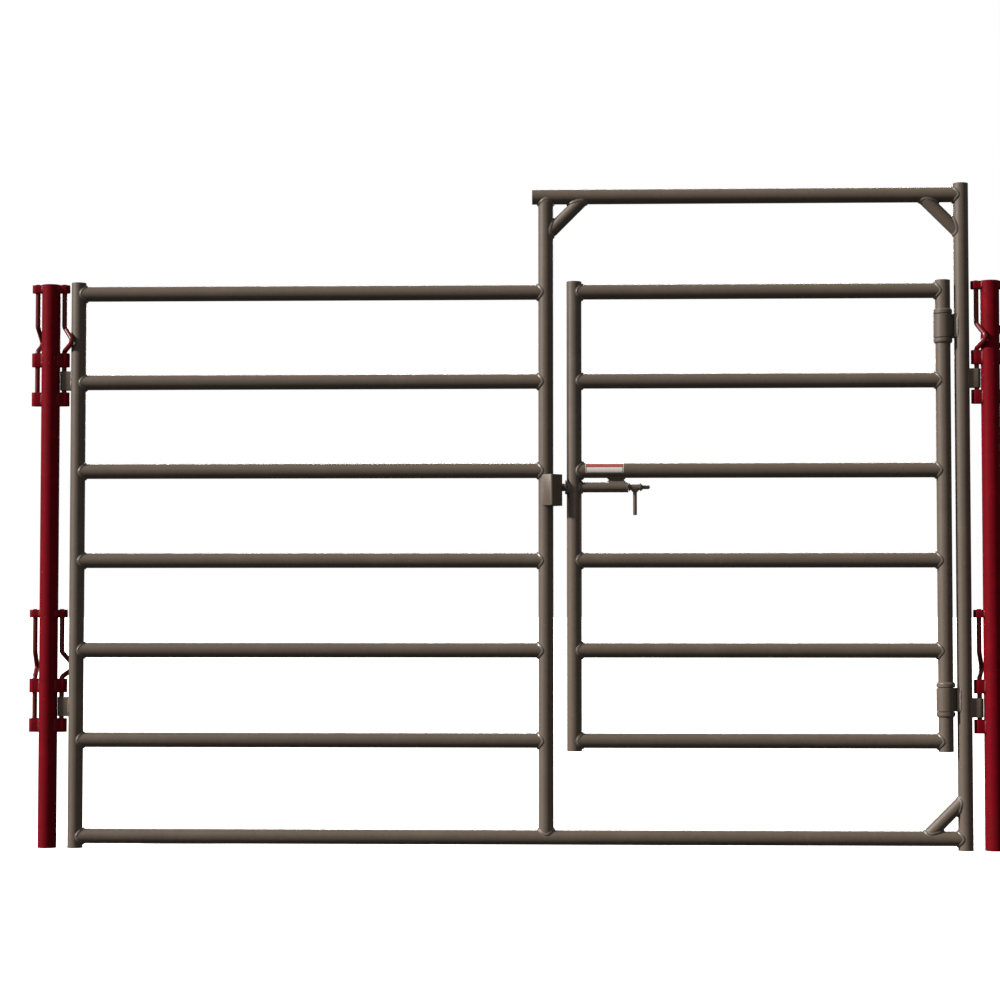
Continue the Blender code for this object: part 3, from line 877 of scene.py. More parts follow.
@dataclass(frozen=True)
class Member:
    """A straight length of stock in the panel's plane, coped to what its ends meet."""

    start: Vector
    end: Vector
    start_hosts: tuple[Cylinder, ...] = ()
    end_hosts: tuple[Cylinder, ...] = ()

    @classmethod
    def standing(cls, node: str) -> "Member":
        """A plain upright length where a node stands."""
        low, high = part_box(node)
        return cls(spot(middle(node).x, low.z), spot(middle(node).x, high.z))

    @property
    def heading(self) -> Vector:
        """Unit direction from start to end."""
        return (self.end - self.start).normalized()

    def offset(self, rise: float, across: float) -> Vector:
        """A step off the axis, from its two parts in the cross plane."""
        return self.heading.cross(ACROSS) * rise + ACROSS * across

    def stop(
        self, offset: Vector, at_end: bool, inset: float = 0.0
    ) -> tuple[Vector, Cylinder | None]:
        """Where a line of the wall stops.

        Args:
            offset: The line's step off the axis.
            at_end: Which end.
            inset: How far short of an open end it stops.

        Returns:
            The place, and the host that it stops on, if any.
        """
        heading = self.heading if at_end else -self.heading
        target, hosts = (self.end, self.end_hosts) if at_end else (self.start, self.start_hosts)
        centre = (self.start + self.end) / 2
        reach, met = (target - centre).length, None
        for host in hosts:
            distance = host.hit(centre + offset, heading)
            limit = reach if met else reach + host.radius
            if distance is not None and distance < limit:
                reach, met = distance, host
        return centre + offset + heading * (reach - (0.0 if hosts else inset)), met

    def ring(self, radius: float, at_end: bool, sides: int, inset: float = 0.0) -> Ring:
        """One end of a round wall.

        Args:
            radius: The wall's radius.
            at_end: Which end.
            sides: How many points the ring has.
            inset: How far short of an open end it stops.

        Returns:
            The ring.
        """
        turns = [math.tau * n / sides for n in range(sides)]
        return [
            self.stop(self.offset(radius * math.cos(t), radius * math.sin(t)), at_end, inset)[0]
            for t in turns
        ]

    def add_tube(self, form: Form, outer: float, wall: float, edge: float = 0.0005) -> None:
        """Adds the tube's outside, bore and rims to a form.

        Args:
            form: The form that takes it.
            outer: The tube's outer diameter.
            wall: Its wall's thickness.
            edge: How much is broken off the edges of an open end.
        """
        outside, bore, sides = outer / 2, outer / 2 - wall, 64

        def rim(at_end: bool) -> list[Ring]:
            """The rings round one end, from the outside in.

            Args:
                at_end: Which end.

            Returns:
                The rings.
            """
            if self.end_hosts if at_end else self.start_hosts:
                return [self.ring(outside, at_end, sides), self.ring(bore, at_end, sides)]
            return [
                self.ring(outside, at_end, sides, edge),
                self.ring(outside - edge, at_end, sides),
                self.ring(bore + edge, at_end, sides),
                self.ring(bore, at_end, sides, edge),
            ]

        form.loft([*rim(True), *reversed(rim(False))], looped=True)

    def seam(self, outer: float, at_end: bool, spacing: float = SEAM_STEP) -> list[SeamPoint]:
        """The seam round one coped end of a round wall.

        Args:
            outer: The wall's outer diameter.
            at_end: Which end.
            spacing: The distance between its points.

        Returns:
            The seam.
        """
        radius = outer / 2
        steps = int(math.tau * radius * 1.12 / spacing)
        points = []
        for n in range(steps):
            turn = math.tau * n / steps
            offset = self.offset(radius * math.cos(turn), radius * math.sin(turn))
            place, host = self.stop(offset, at_end)
            hosts = self.end_hosts if at_end else self.start_hosts
            met = host or hosts[0]
            away = -self.heading if at_end else self.heading
            facing = met.normal_at(place)
            points.append(SeamPoint(place, offset.normalized(), facing, away, met.clearance))
        return points


def straight_seam(
    low: Vector, high: Vector, stock_normal: Vector, host_normal: Vector, away: Vector
) -> list[SeamPoint]:
    """A straight seam between two places.

    Args:
        low: Where it starts.
        high: Where it ends.
        stock_normal: Which way the welded piece faces there.
        host_normal: Which way its host faces there.
        away: The direction along the welded piece, away from the host.

    Returns:
        The seam.
    """
    steps = int((high - low).length / SEAM_STEP)
    places = [low.lerp(high, n / steps) for n in range(steps + 1)]
    return [SeamPoint(place, stock_normal, host_normal, away) for place in places]


def ring_seam(centre: Vector, heading: Vector, radius: float) -> list[SeamPoint]:
    """The seam between a round bar and a flat face that it passes through.

    Args:
        centre: The middle of the bar at the face.
        heading: Which way the face looks, along the bar.
        radius: The bar's radius.

    Returns:
        The seam.
    """
    places = circle(centre, heading, radius, int(math.tau * radius / 0.0007))
    return [
        SeamPoint(place, (place - centre).normalized(), heading, heading) for place in places
    ]


@dataclass(frozen=True)
class Strap:
    """A flat bar bent to a U round a pin, with both legs coped and welded to an upright tube."""

    bend: Vector
    facing: int
    inner_radius: float
    thickness: float
    height: float
    host: Cylinder
    edge: float = 0.0009

    def outline(self) -> list[tuple[float, float]]:
        """The bar's cross section, with rounded corners.

        Returns:
            (through its thickness, up) points.
        """
        half_t, half_h = self.thickness / 2, self.height / 2
        points = []
        for sx, sz, start in CORNERS:
            for n in range(4):
                turn = math.radians(start + 30 * n)
                x = sx * (half_t - self.edge) + self.edge * math.cos(turn)
                points.append((x, sz * (half_h - self.edge) + self.edge * math.sin(turn)))
        return points

    def leg_end(self, side: int, through: float, up: float) -> Vector:
        """Where one line of a leg meets the host.

        Args:
            side: Which leg.
            through: How far outside the bend's inner face the line is.
            up: How far above the strap's middle it is.

        Returns:
            The place.
        """
        away = Vector((self.facing, 0.0, 0.0))
        start = self.bend + Vector((0.0, side * (self.inner_radius + through), up))
        distance = self.host.hit(start, -away) or (start - self.host.point).dot(away)
        return start - away * distance

    def add(self, form: Form, bead: WeldBead) -> None:
        """Adds the strap and its two outer welds to a form.

        Args:
            form: The form that takes them.
            bead: The weld.
        """
        half = self.thickness / 2
        outline = self.outline()
        rings = [[self.leg_end(-1, half + t, up) for t, up in outline]]
        for n in range(19):
            turn = math.radians(-90 + 10 * n)
            way = Vector((self.facing * math.cos(turn), math.sin(turn), 0.0))
            rings.append(
                [self.bend + way * (self.inner_radius + half + t) + UP * up for t, up in outline]
            )
        rings.append([self.leg_end(1, half + t, up) for t, up in outline])
        form.loft(rings)
        reach = self.height / 2 - 0.002
        for side in (-1, 1):
            low = self.leg_end(side, self.thickness, -reach)
            high = self.leg_end(side, self.thickness, reach)
            facing = self.host.normal_at(low)
            away = Vector((self.facing, 0.0, 0.0))
            seam = straight_seam(low, high, ACROSS * side, facing, away)
            bead.lay(form, seam, closed=False)


@dataclass
class PanelFrame:
    """The fixed panel with the door frame round the swing gate."""

    brace: float = 0.0422
    brace_reach: float = 0.129
    rails: int = 6
    bead: WeldBead = WeldBead()
    body: str = "panel_frame"

    def __post_init__(self) -> None:
        """Finds the tubes that others meet."""
        self.left = standing_tube("left_upright", MOUTH_GAP)
        self.centre = standing_tube("middle_upright", MOUTH_GAP)
        self.right = standing_tube("right_upright", MOUTH_GAP)
        self.bottom = lying_tube("bottom_rail", MOUTH_GAP)
        self.header = lying_tube("header_rail", MOUTH_GAP)

    def build_uprights(self) -> None:
        """The three uprights. The middle one is coped between the bottom and header rails."""
        for node in ("left_upright", "right_upright"):
            form = Form()
            Member.standing(node).add_tube(form, TUBE, WALL)
            form.piece(f"{node}_tube", self.body, Slot.PANEL, [Finish.TAUPE], node)
        x, foot, head = self.centre.point.x, self.bottom, self.header
        member = Member(spot(x, foot.point.z), spot(x, head.point.z), (foot,), (head,))
        self.add_welded("middle_upright", member)

    def add_welded(
        self, node: str, member: Member, outer: float = TUBE, ends: Sequence[bool] = (False, True)
    ) -> None:
        """Makes one coped tube with a weld round its ends.

        Args:
            node: The CAD node that it stands for.
            member: Where it runs and what it meets.
            outer: Its outer diameter.
            ends: The ends that are welded, True for the far one.
        """
        form = Form()
        member.add_tube(form, outer, WALL)
        for at_end in ends:
            self.bead.lay(form, member.seam(outer, at_end), closed=True)
        form.piece(f"{node}_tube", self.body, Slot.PANEL, WELDED, node)

    def build_rails(self) -> None:
        """The bottom rail, the six panel rails and the header rail."""
        spans = [("bottom_rail", self.left, self.right)]
        spans += [(f"panel_rail_{n}", self.left, self.centre) for n in range(1, self.rails + 1)]
        for node, one, other in spans:
            z = middle(node).z
            start, end = spot(one.point.x, z), spot(other.point.x, z)
            self.add_welded(node, Member(start, end, (one,), (other,)))
        z = self.header.point.z
        start = spot(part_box("header_rail")[0].x, z)
        header = Member(start, spot(self.right.point.x, z), (), (self.right,))
        self.add_welded("header_rail", header, ends=(True,))

    def build_braces(self) -> None:
        """The three corner braces at 45 degrees."""
        corners = (
            ("brace_header_left", self.centre, self.header, 1, -1),
            ("brace_header_right", self.right, self.header, -1, -1),
            ("brace_bottom_right", self.right, self.bottom, -1, 1),
        )
        for node, post, rail, along, rise in corners:
            x, z = post.point.x, rail.point.z
            start = spot(x, z + rise * self.brace_reach)
            end = spot(x + along * self.brace_reach, z)
            self.add_welded(node, Member(start, end, (post, rail), (post, rail)), self.brace)

    def build(self) -> None:
        """Builds the panel."""
        self.build_uprights()
        self.build_rails()
        self.build_braces()


@dataclass
class Strikes:
    """Two angle bars on the middle upright, with ramps for the bolt and a pocket between them."""

    apex_reach: float = 0.020
    apex_depth: float = 0.053
    ramp: float = 0.0465
    thickness: float = 0.0048
    bend_radius: float = 0.0065
    bend_steps: int = 10
    foot_steps: int = 4
    # How far down the leg a line to the upright starts
    leg_start: float = 0.02
    edge: float = 0.0006
    weld_inset: float = 0.004
    bead: WeldBead = WeldBead(leg=0.0048)

    def outline(self, apex: Vector, way: Vector, leg: Vector, host: Cylinder) -> list[Vector]:
        """The bar's plan: along its ramp and back, and down its leg to the upright.

        Args:
            apex: The outer corner of its bend.
            way: The direction along its ramp.
            leg: The direction down its leg.
            host: The upright.

        Returns:
            The outline.
        """
        t, radius = self.thickness, self.bend_radius

        def at(x: float, y: float) -> Vector:
            """A place in plan, from its steps along the ramp and the leg."""
            return apex + way * x + leg * y

        def landing(x: float) -> Vector:
            """Where a line down the leg meets the upright."""
            return host.landing(at(x, self.leg_start), leg)

        turns = [90 * n / self.bend_steps for n in range(self.bend_steps + 1)]
        outer = [math.radians(270 - turn) for turn in turns]
        inner = [math.radians(180 + turn) for turn in turns]
        small = radius - t
        points = [at(self.ramp, t), at(self.ramp, 0.0)]
        points += [at(radius + radius * math.cos(a), radius + radius * math.sin(a)) for a in outer]
        points += [landing(t * n / self.foot_steps) for n in range(self.foot_steps + 1)]
        points += [at(radius + small * math.cos(a), radius + small * math.sin(a)) for a in inner]
        return points

    def build(self) -> None:
        """Builds both strikes."""
        host = standing_tube("middle_upright")
        for node, side in (("strike_front", -1), ("strike_back", 1)):
            low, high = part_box(node)
            apex = Vector((host.point.x + self.apex_reach, side * self.apex_depth, 0.0))
            way = Vector((1.0, -side, 0.0)).normalized()
            leg = Vector((-1.0, -side, 0.0)).normalized()
            form = Form()
            form.prism(self.outline(apex, way, leg, host), low.z, high.z, self.edge)
            for x, facing in ((0.0, -way), (self.thickness, way)):
                landing = host.landing(apex + way * x + leg * self.leg_start, leg)
                foot = Vector((landing.x, landing.y, low.z + self.weld_inset))
                head = Vector((landing.x, landing.y, high.z - self.weld_inset))
                normal = host.normal_at(landing)
                seam = straight_seam(foot, head, facing, Vector((normal.x, normal.y, 0.0)), -leg)
                self.bead.lay(form, seam, closed=False)
            form.piece(f"{node}_angle_bar", "panel_frame", Slot.LATCH, WELDED, node)


@dataclass
class Hinges:
    """Sleeves held off the right upright, and the collars that carry the gate on them."""

    sleeve: float = 0.0603
    sleeve_wall: float = 0.0039
    edge: float = 0.0012
    flange_depth: float = 0.038
    web_depth: float = 0.020
    flange_lip: float = 0.0035
    bracket_edge: float = 0.0006
    bracket_steps: int = 12
    weld_inset: float = 0.002
    collar_play: float = 0.0001
    bead: WeldBead = WeldBead(leg=0.0050)

    def build_sleeve(self, level: Level) -> None:
        """One sleeve, open at both ends.

        Args:
            level: Which hinge it belongs to.
        """
        node = f"hinge_sleeve_{level.value}"
        form = Form()
        Member.standing(node).add_tube(form, self.sleeve, self.sleeve_wall, self.edge)
        form.piece(f"{node}_tube", "panel_frame", Slot.PANEL, [Finish.TAUPE], node)

    def build_bracket(self, level: Level) -> None:
        """One T-bar bracket: its web on the sleeve, its flange on the right upright.

        Args:
            level: Which hinge it belongs to.
        """
        node = f"hinge_bracket_{level.value}"
        low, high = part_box(node)
        sleeve = Cylinder(middle(f"hinge_sleeve_{level.value}"), UP, self.sleeve / 2)
        upright = standing_tube("right_upright")
        steps = [n / self.bracket_steps - 0.5 for n in range(self.bracket_steps + 1)]
        near = [
            Vector((sleeve.point.x + math.sqrt(sleeve.radius**2 - y * y), y, 0.0))
            for y in (self.web_depth * step for step in steps)
        ]
        far = [
            Vector((upright.point.x - math.sqrt(upright.radius**2 - y * y), y, 0.0))
            for y in (-self.flange_depth * step for step in steps)
        ]
        step_x = upright.point.x - upright.radius - self.flange_lip
        depths = (self.web_depth, self.flange_depth)
        back, front = [
            [Vector((step_x, side * depth / 2, 0.0)) for depth in depths] for side in (1, -1)
        ]
        form = Form()
        form.prism([*near, *back, *far, *reversed(front)], low.z, high.z, self.bracket_edge)
        for side in (-1, 1):
            for host, row, away in ((sleeve, near, ALONG), (upright, far, -ALONG)):
                corner = max(row, key=lambda point: side * point.y)
                foot = Vector((corner.x, corner.y, low.z + self.weld_inset))
                head = Vector((corner.x, corner.y, high.z - self.weld_inset))
                seam = straight_seam(foot, head, ACROSS * side, host.normal_at(foot), away)
                self.bead.lay(form, seam, closed=False)
        form.piece(f"{node}_saddle", "panel_frame", Slot.PANEL, WELDED, node)

    def build_collar(self, level: Level, end: str) -> None:
        """One collar, welded to the gate's upright on the side away from the sleeve.

        Args:
            level: Which hinge it belongs to.
            end: Which end of the hinge it is at, top or bottom.
        """
        node = f"hinge_collar_{level.value}_{end}"
        low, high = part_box(node)
        length = high.z - low.z
        profile = ring_profile(TUBE / 2 + self.collar_play, self.sleeve / 2, length, self.edge)
        form = Form()
        base = spot(middle(node).x, low.z)
        form.turn(base, UP, profile, looped=True)
        heading = UP if end == "top" else -UP
        face = base + (UP * length if end == "top" else Vector())
        self.bead.lay(form, ring_seam(face, heading, TUBE / 2), closed=True)
        form.piece(f"{node}_ring", "swing_gate", Slot.GATE, WELDED, node)

    def build(self) -> None:
        """Builds both hinges."""
        for level in Level:
            self.build_sleeve(level)
            self.build_bracket(level)
            for end in ("top", "bottom"):
                self.build_collar(level, end)


@dataclass
class GateLeaf:
    """The swing gate: two uprights, six rails and a plain label."""

    latch_tube: float = 0.0334
    rails: int = 6
    latch_rail: int = 4
    bead: WeldBead = WeldBead()
    rough_bead: WeldBead = WeldBead(leg=0.0062, ripple=0.0042, crown=0.24, wander=0.34)
    label_start: float = 0.220
    label_end: float = 0.343
    label_top: float = 92.0
    label_foot: float = -20.0
    drill_length: float = 0.4
    body: str = "swing_gate"

    def __post_init__(self) -> None:
        """Finds the two uprights."""
        self.latch = standing_tube("gate_latch_upright", MOUTH_GAP)
        self.hinge = standing_tube("gate_hinge_upright", MOUTH_GAP)

    def build_uprights(self) -> None:
        """Both uprights. The latch tube's hole goes through one of them."""
        for node in ("gate_latch_upright", "gate_hinge_upright"):
            form = Form()
            Member.standing(node).add_tube(form, TUBE, WALL)
            made = form.piece(f"{node}_tube", self.body, Slot.GATE, [Finish.TAUPE], node)
            if node == "gate_latch_upright":
                self.pierce(made)

    def pierce(self, upright: bpy.types.Object) -> None:
        """Cuts the latch tube's hole through an upright.

        Args:
            upright: The upright.
        """
        drill = Form()
        start, radius = middle("latch_tube") - ALONG * self.drill_length / 2, self.latch_tube / 2
        drill.turn(start, ALONG, [(radius, 0.0), (radius, self.drill_length)], sides=72)
        cutter = bpy.data.objects.new("drill", drill.mesh("drill"))
        bpy.context.scene.collection.objects.link(cutter)
        cut = upright.modifiers.new("Latch hole", "BOOLEAN")
        cut.operation, cut.solver, cut.object = "DIFFERENCE", "EXACT", cutter
        graph = bpy.context.evaluated_depsgraph_get()
        pierced = bpy.data.meshes.new_from_object(upright.evaluated_get(graph))
        upright.modifiers.clear()
        upright.data = pierced
        bpy.data.objects.remove(cutter)

    def build_rails(self) -> None:
        """The six rails. The one over the latch has a heavy, rough weld at the latch upright."""
        for number in range(1, self.rails + 1):
            node = f"gate_rail_{number}"
            z = middle(node).z
            start, end = spot(self.latch.point.x, z), spot(self.hinge.point.x, z)
            member = Member(start, end, (self.latch,), (self.hinge,))
            form = Form()
            member.add_tube(form, TUBE, WALL)
            near = self.rough_bead if number == self.latch_rail else self.bead
            near.lay(form, member.seam(TUBE, False), closed=True)
            self.bead.lay(form, member.seam(TUBE, True), closed=True)
            form.piece(f"{node}_tube", self.body, Slot.GATE, WELDED, node)

    def build_label(self) -> None:
        """A plain film label round the front of one rail, with a dark outline and one band."""
        centre = middle(f"gate_rail_{self.latch_rail}")
        span, line = self.label_end - self.label_start, 0.0022
        stations = [0.0, 0.0016, 0.0016 + line, span - 0.0016 - line, span - 0.0016, span]
        arc = self.label_top - self.label_foot
        marks = [0.0, 0.018, 0.045, 0.30, 0.62, 0.955, 0.982, 1.0]
        shares = [
            a + (b - a) * n / 6 for a, b in zip(marks, marks[1:]) for n in range(6)
        ] + [1.0]

        def ring(x: float) -> Ring:
            """The film's section at one place along the rail: its face, then its back.

            Args:
                x: The place.

            Returns:
                The section.
            """
            rows = []
            for lift, order in ((0.00025, shares), (0.00002, list(reversed(shares)))):
                radius = TUBE / 2 + lift
                turns = [math.radians(self.label_top - arc * share) for share in order]
                rows += [
                    Vector((x, -radius * math.cos(t), centre.z + radius * math.sin(t)))
                    for t in turns
                ]
            return rows

        def pick(station: int, point: int) -> int:
            """The film is white, with a dark line inside its edge and a muted band.

            Args:
                station: A face's place along the rail.
                point: Its place round the rail.

            Returns:
                The number of its finish.
            """
            if point >= len(shares) - 1 or station in (0, 4):
                return 0
            share = (shares[point] + shares[point + 1]) / 2
            if share < marks[1] or share > marks[-2]:
                return 0
            if station in (1, 3) or share < marks[2] or share > marks[-3]:
                return 1
            return 2 if marks[3] < share < marks[4] else 0

        form = Form()
        form.loft([ring(self.label_start + x) for x in stations], pick=pick)
        finishes = [Finish.LABEL_FACE, Finish.LABEL_LINE, Finish.LABEL_BAND]
        form.piece("plain_label_film", self.body, Slot.GATE, finishes)

    def build(self) -> None:
        """Builds the leaf."""
        self.build_uprights()
        self.build_rails()
        self.build_label()


@dataclass
class SlamLatch:
    """The sprung bolt in its tube under the latch rail, with its hub and handle."""

    tube: float = 0.0334
    tube_wall: float = 0.0034
    edge: float = 0.0006
    # How much wider than the rod a ring's hole is on each side
    bore_play: float = 0.0004
    nose: float = 0.0254
    nose_length: float = 0.070
    nose_chamfer: float = 0.004
    rod: float = 0.0127
    hub: float = 0.0195
    hub_edge: float = 0.0009
    # How far in from the hub's ends its outer welds run
    hub_weld: float = 0.0038
    handle: float = 0.0127
    handle_edge: float = 0.0015
    wire: float = 0.0022
    coil: float = 0.0235
    coils: int = 8
    coil_steps: int = 36
    disc_edge: float = 0.0003
    travel: float = 0.036
    # The gate rail over the latch
    rail: int = 4
    spacer_corner: float = 0.0012
    bead: WeldBead = WeldBead(leg=0.0050)
    heavy_bead: WeldBead = WeldBead(leg=0.0062, ripple=0.0042, crown=0.30, wander=0.30)
    washer_bead: WeldBead = WeldBead(leg=0.0028, ripple=0.0026, crown=0.22)
    hub_bead: WeldBead = WeldBead(leg=0.0042, ripple=0.0034, crown=0.34, wander=0.3)
    flare_bead: WeldBead = WeldBead(leg=0.0070, ripple=0.0040, crown=-0.02, wander=0.2)

    def __post_init__(self) -> None:
        """Finds the latch's axis."""
        self.z = middle("latch_tube").z
        self.axis = Cylinder(middle("latch_tube"), ALONG, self.tube / 2)

    def build_housing(self) -> None:
        """The tube through the gate's upright, and its end washer."""
        low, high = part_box("latch_tube")
        upright = standing_tube("gate_latch_upright")
        form = Form()
        whole = Member(spot(low.x, self.z), spot(high.x, self.z))
        whole.add_tube(form, self.tube, self.tube_wall, 0.0007)
        right = Member(spot(upright.point.x, self.z), whole.end, (upright,), ())
        self.bead.lay(form, right.seam(self.tube, False), closed=True)
        left = Member(spot(low.x - 0.2, self.z), right.start, (), (upright,))
        self.heavy_bead.lay(form, left.seam(self.tube, True), closed=True)
        form.piece("latch_tube_housing", "swing_gate", Slot.LATCH, WELDED, "latch_tube")

        low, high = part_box("latch_end_washer")
        bore, outside, length = self.rod / 2 + self.bore_play, self.tube / 2, high.x - low.x
        profile = ring_profile(bore, outside, length, self.edge)[:-1]
        profile += [(bore + self.edge, length), (bore, length - self.edge)]
        form = Form()
        form.turn(spot(low.x, self.z), ALONG, profile, looped=True)
        centre, seam = spot(low.x - 0.0002, self.z), []
        for place in circle(centre, ALONG, outside - 0.0002, 150):
            facing = (place - centre).normalized()
            seam.append(SeamPoint(place, facing, facing, ALONG))
        self.washer_bead.lay(form, seam, closed=True)
        form.piece("latch_end_washer_plate", "swing_gate", Slot.LATCH, WELDED, "latch_end_washer")

    def build_spacer(self) -> None:
        """The bar between the latch tube and the rail, welded round top and bottom."""
        low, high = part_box("latch_spacer")
        rail = lying_tube(f"gate_rail_{self.rail}")
        half_x, half_y = (high.x - low.x) / 2, (high.y - low.y) / 2
        centre = Vector(((low.x + high.x) / 2, 0.0, 0.0))
        radius, level = self.spacer_corner, self.z + (rail.point.z - self.z) / 2

        def landing(place: Vector, heading: Vector, host: Cylinder) -> Vector:
            """Where a line from halfway between the two tubes meets one of them."""
            return host.landing(Vector((place.x, place.y, level)), heading)

        plan = []
        for sx, sy, start in CORNERS:
            for n in range(5):
                turn = math.radians(start + 22.5 * n)
                normal = Vector((math.cos(turn), math.sin(turn), 0.0))
                core = Vector((sx * (half_x - radius), sy * (half_y - radius), 0.0))
                plan.append((centre + core + normal * radius, normal))
        dense = []
        for (place, normal), (after, after_normal) in zip(plan, plan[1:] + plan[:1]):
            steps = max(1, int((after - place).length / SEAM_STEP))
            for share in (n / steps for n in range(steps)):
                facing = normal.lerp(after_normal, share).normalized()
                dense.append((place.lerp(after, share), facing))
        form = Form()
        for heading, host in ((UP, rail), (-UP, self.axis)):
            seam = []
            for place, normal in dense:
                met = landing(place, heading, host)
                seam.append(SeamPoint(met, normal, host.normal_at(met), -heading))
            self.bead.lay(form, seam, closed=True)
        ends = ((-UP, self.axis), (UP, rail))
        form.loft([[landing(place, way, host) for place, _ in plan] for way, host in ends])
        form.piece("latch_spacer_bar", "swing_gate", Slot.LATCH, WELDED, "latch_spacer")

    def build_bolt(self) -> None:
        """The bolt: a chamfered nose, turned down to a rod with a rounded end."""
        low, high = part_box("latch_bolt")
        nose, thin, length = self.nose / 2, self.rod / 2, high.x - low.x
        profile = [(nose - self.nose_chamfer - 0.0008, 0.0), (nose - self.nose_chamfer, 0.0006)]
        profile += [(nose - 0.0006, self.nose_chamfer), (nose, self.nose_chamfer + 0.0008)]
        profile += [(nose, self.nose_length - 0.0008), (nose - 0.0008, self.nose_length)]
        profile += [(thin, self.nose_length), (thin, length - thin)]
        turns = [math.radians(15 * n) for n in range(1, 6)]
        profile += [(thin * math.cos(t), length - thin + thin * math.sin(t)) for t in turns]
        form = Form()
        form.turn(spot(low.x, self.z), ALONG, profile, sides=56)
        form.piece("latch_bolt_bar", "bolt", Slot.BOLT, [Finish.STEEL], "latch_bolt")

    def build_hub(self) -> None:
        """The hub on the rod, welded at both ends, and the handle welded under it."""
        low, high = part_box("latch_hub")
        bore, outside, length = self.rod / 2, self.hub / 2, high.x - low.x
        form = Form()
        base = spot(low.x, self.z)
        form.turn(base, ALONG, ring_profile(bore, outside, length, self.hub_edge), looped=True)
        self.hub_bead.lay(form, ring_seam(base + ALONG * length, ALONG, bore), closed=True)
        for along, way in ((self.hub_weld, -ALONG), (length - self.hub_weld, ALONG)):
            seam = ring_seam(base + ALONG * along, way, outside - self.edge)
            self.hub_bead.lay(form, seam, closed=True)
        form.piece("latch_hub_sleeve", "bolt", Slot.LATCH, WELDED, "latch_hub")

        low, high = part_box("latch_handle")
        hub = Cylinder(base, ALONG, outside)
        x, radius, edge = middle("latch_handle").x, self.handle / 2, self.handle_edge
        shaft = Member(spot(x, low.z), spot(x, self.z), (), (hub,))
        rings = [shaft.ring(radius - edge, False, 40), shaft.ring(radius, False, 40, edge)]
        rings.append(shaft.ring(radius, True, 40))
        form = Form()
        form.loft(rings)
        self.flare_bead.lay(form, shaft.seam(self.handle, True, 0.0006), closed=True)
        form.piece("latch_handle_bar", "bolt", Slot.LATCH, WELDED, "latch_handle")

    def build_spring(self) -> None:
        """The spring behind the nose and the disc that it pushes on."""
        node = "spring_follower"
        low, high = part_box(node)
        bore, outside, length = self.rod / 2 + self.bore_play, self.coil / 2, high.x - low.x
        profile = ring_profile(bore, outside, length, self.disc_edge)
        form = Form()
        form.turn(spot(low.x, self.z), ALONG, profile, looped=True)
        form.piece(f"{node}_disc", "bolt_follower", Slot.SPRING, [Finish.ZINC], node)

        node = "latch_spring"
        low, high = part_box(node)
        radius, wire = (self.coil - self.wire) / 2, self.wire / 2
        start, end = low.x + wire, high.x - wire
        steps = self.coils * self.coil_steps
        path = []
        for n in range(steps + 1):
            turn = math.tau * self.coils * n / steps
            x = start + (end - start) * n / steps
            path.append(Vector((x, radius * math.cos(turn), self.z + radius * math.sin(turn))))
        form = Form()
        form.sweep(path, wire, 12, self.disc_edge)
        coil = form.piece(f"{node}_coil", "swing_gate", Slot.SPRING, [Finish.ZINC], node)
        length = high.x - low.x
        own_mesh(coil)

    def build(self) -> None:
        """Builds the latch."""
        self.build_housing()
        self.build_spacer()
        self.build_bolt()
        self.build_hub()
        self.build_spring()


@dataclass
class Ears:
    """The straps on the panel's end uprights that the inner drop pins pass through."""

    thickness: float = 0.0040
    bead: WeldBead = WeldBead(leg=0.0044)

    def build(self) -> None:
        """Builds all four ears."""
        for side in Side:
            host = standing_tube(f"{side.word}_upright")
            for level in Level:
                node = f"ear_{side.word}_{level.value}"
                low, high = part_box(node)
                tip = low.x if side is Side.LEFT else high.x
                bend = tip - side.value * (STRAP_BEND + self.thickness)
                centre, height = spot(bend, (low.z + high.z) / 2), high.z - low.z
                strap = Strap(centre, side.value, STRAP_BEND, self.thickness, height, host)
                form = Form()
                strap.add(form, self.bead)
                form.piece(f"{node}_strap", "panel_frame", Slot.PANEL, WELDED, node)


@dataclass
class PinPost:
    """A round post with three lugs at two levels on each side."""

    side: Side
    outer: float = 0.0603
    wall: float = 0.0039
    lug_thickness: float = 0.006
    lug_reach: float = 0.062
    edge: float = 0.0008
    # How far each lug's middle is above the lowest one's, and how tall it is
    lugs: tuple[tuple[float, float], ...] = ((0.0, 0.0445), (0.128, 0.0445), (0.361, 0.0254))
    bead: WeldBead = WeldBead(leg=0.0046)

    def build(self) -> None:
        """Builds the post with its lugs."""
        node = f"pin_post_{self.side.word}"
        member = Member.standing(node)
        host = Cylinder(member.start, UP, self.outer / 2)
        form = Form()
        member.add_tube(form, self.outer, self.wall, self.edge)
        bend, thick = self.lug_reach - self.lug_thickness - STRAP_BEND, self.lug_thickness
        for level in Level:
            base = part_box(f"drop_pin_{self.side.word}_outer_{level.value}")[0].z + PIN_TIP_DROP
            for facing in (-1, 1):
                for rise, height in self.lugs:
                    centre = spot(member.start.x + facing * bend, base + rise)
                    Strap(centre, facing, STRAP_BEND, thick, height, host).add(form, self.bead)
        finishes = [Finish.RED, Finish.RED_WELD]
        form.piece(f"{node}_with_lugs", f"{self.side.word}_post", Slot.POST, finishes, node)


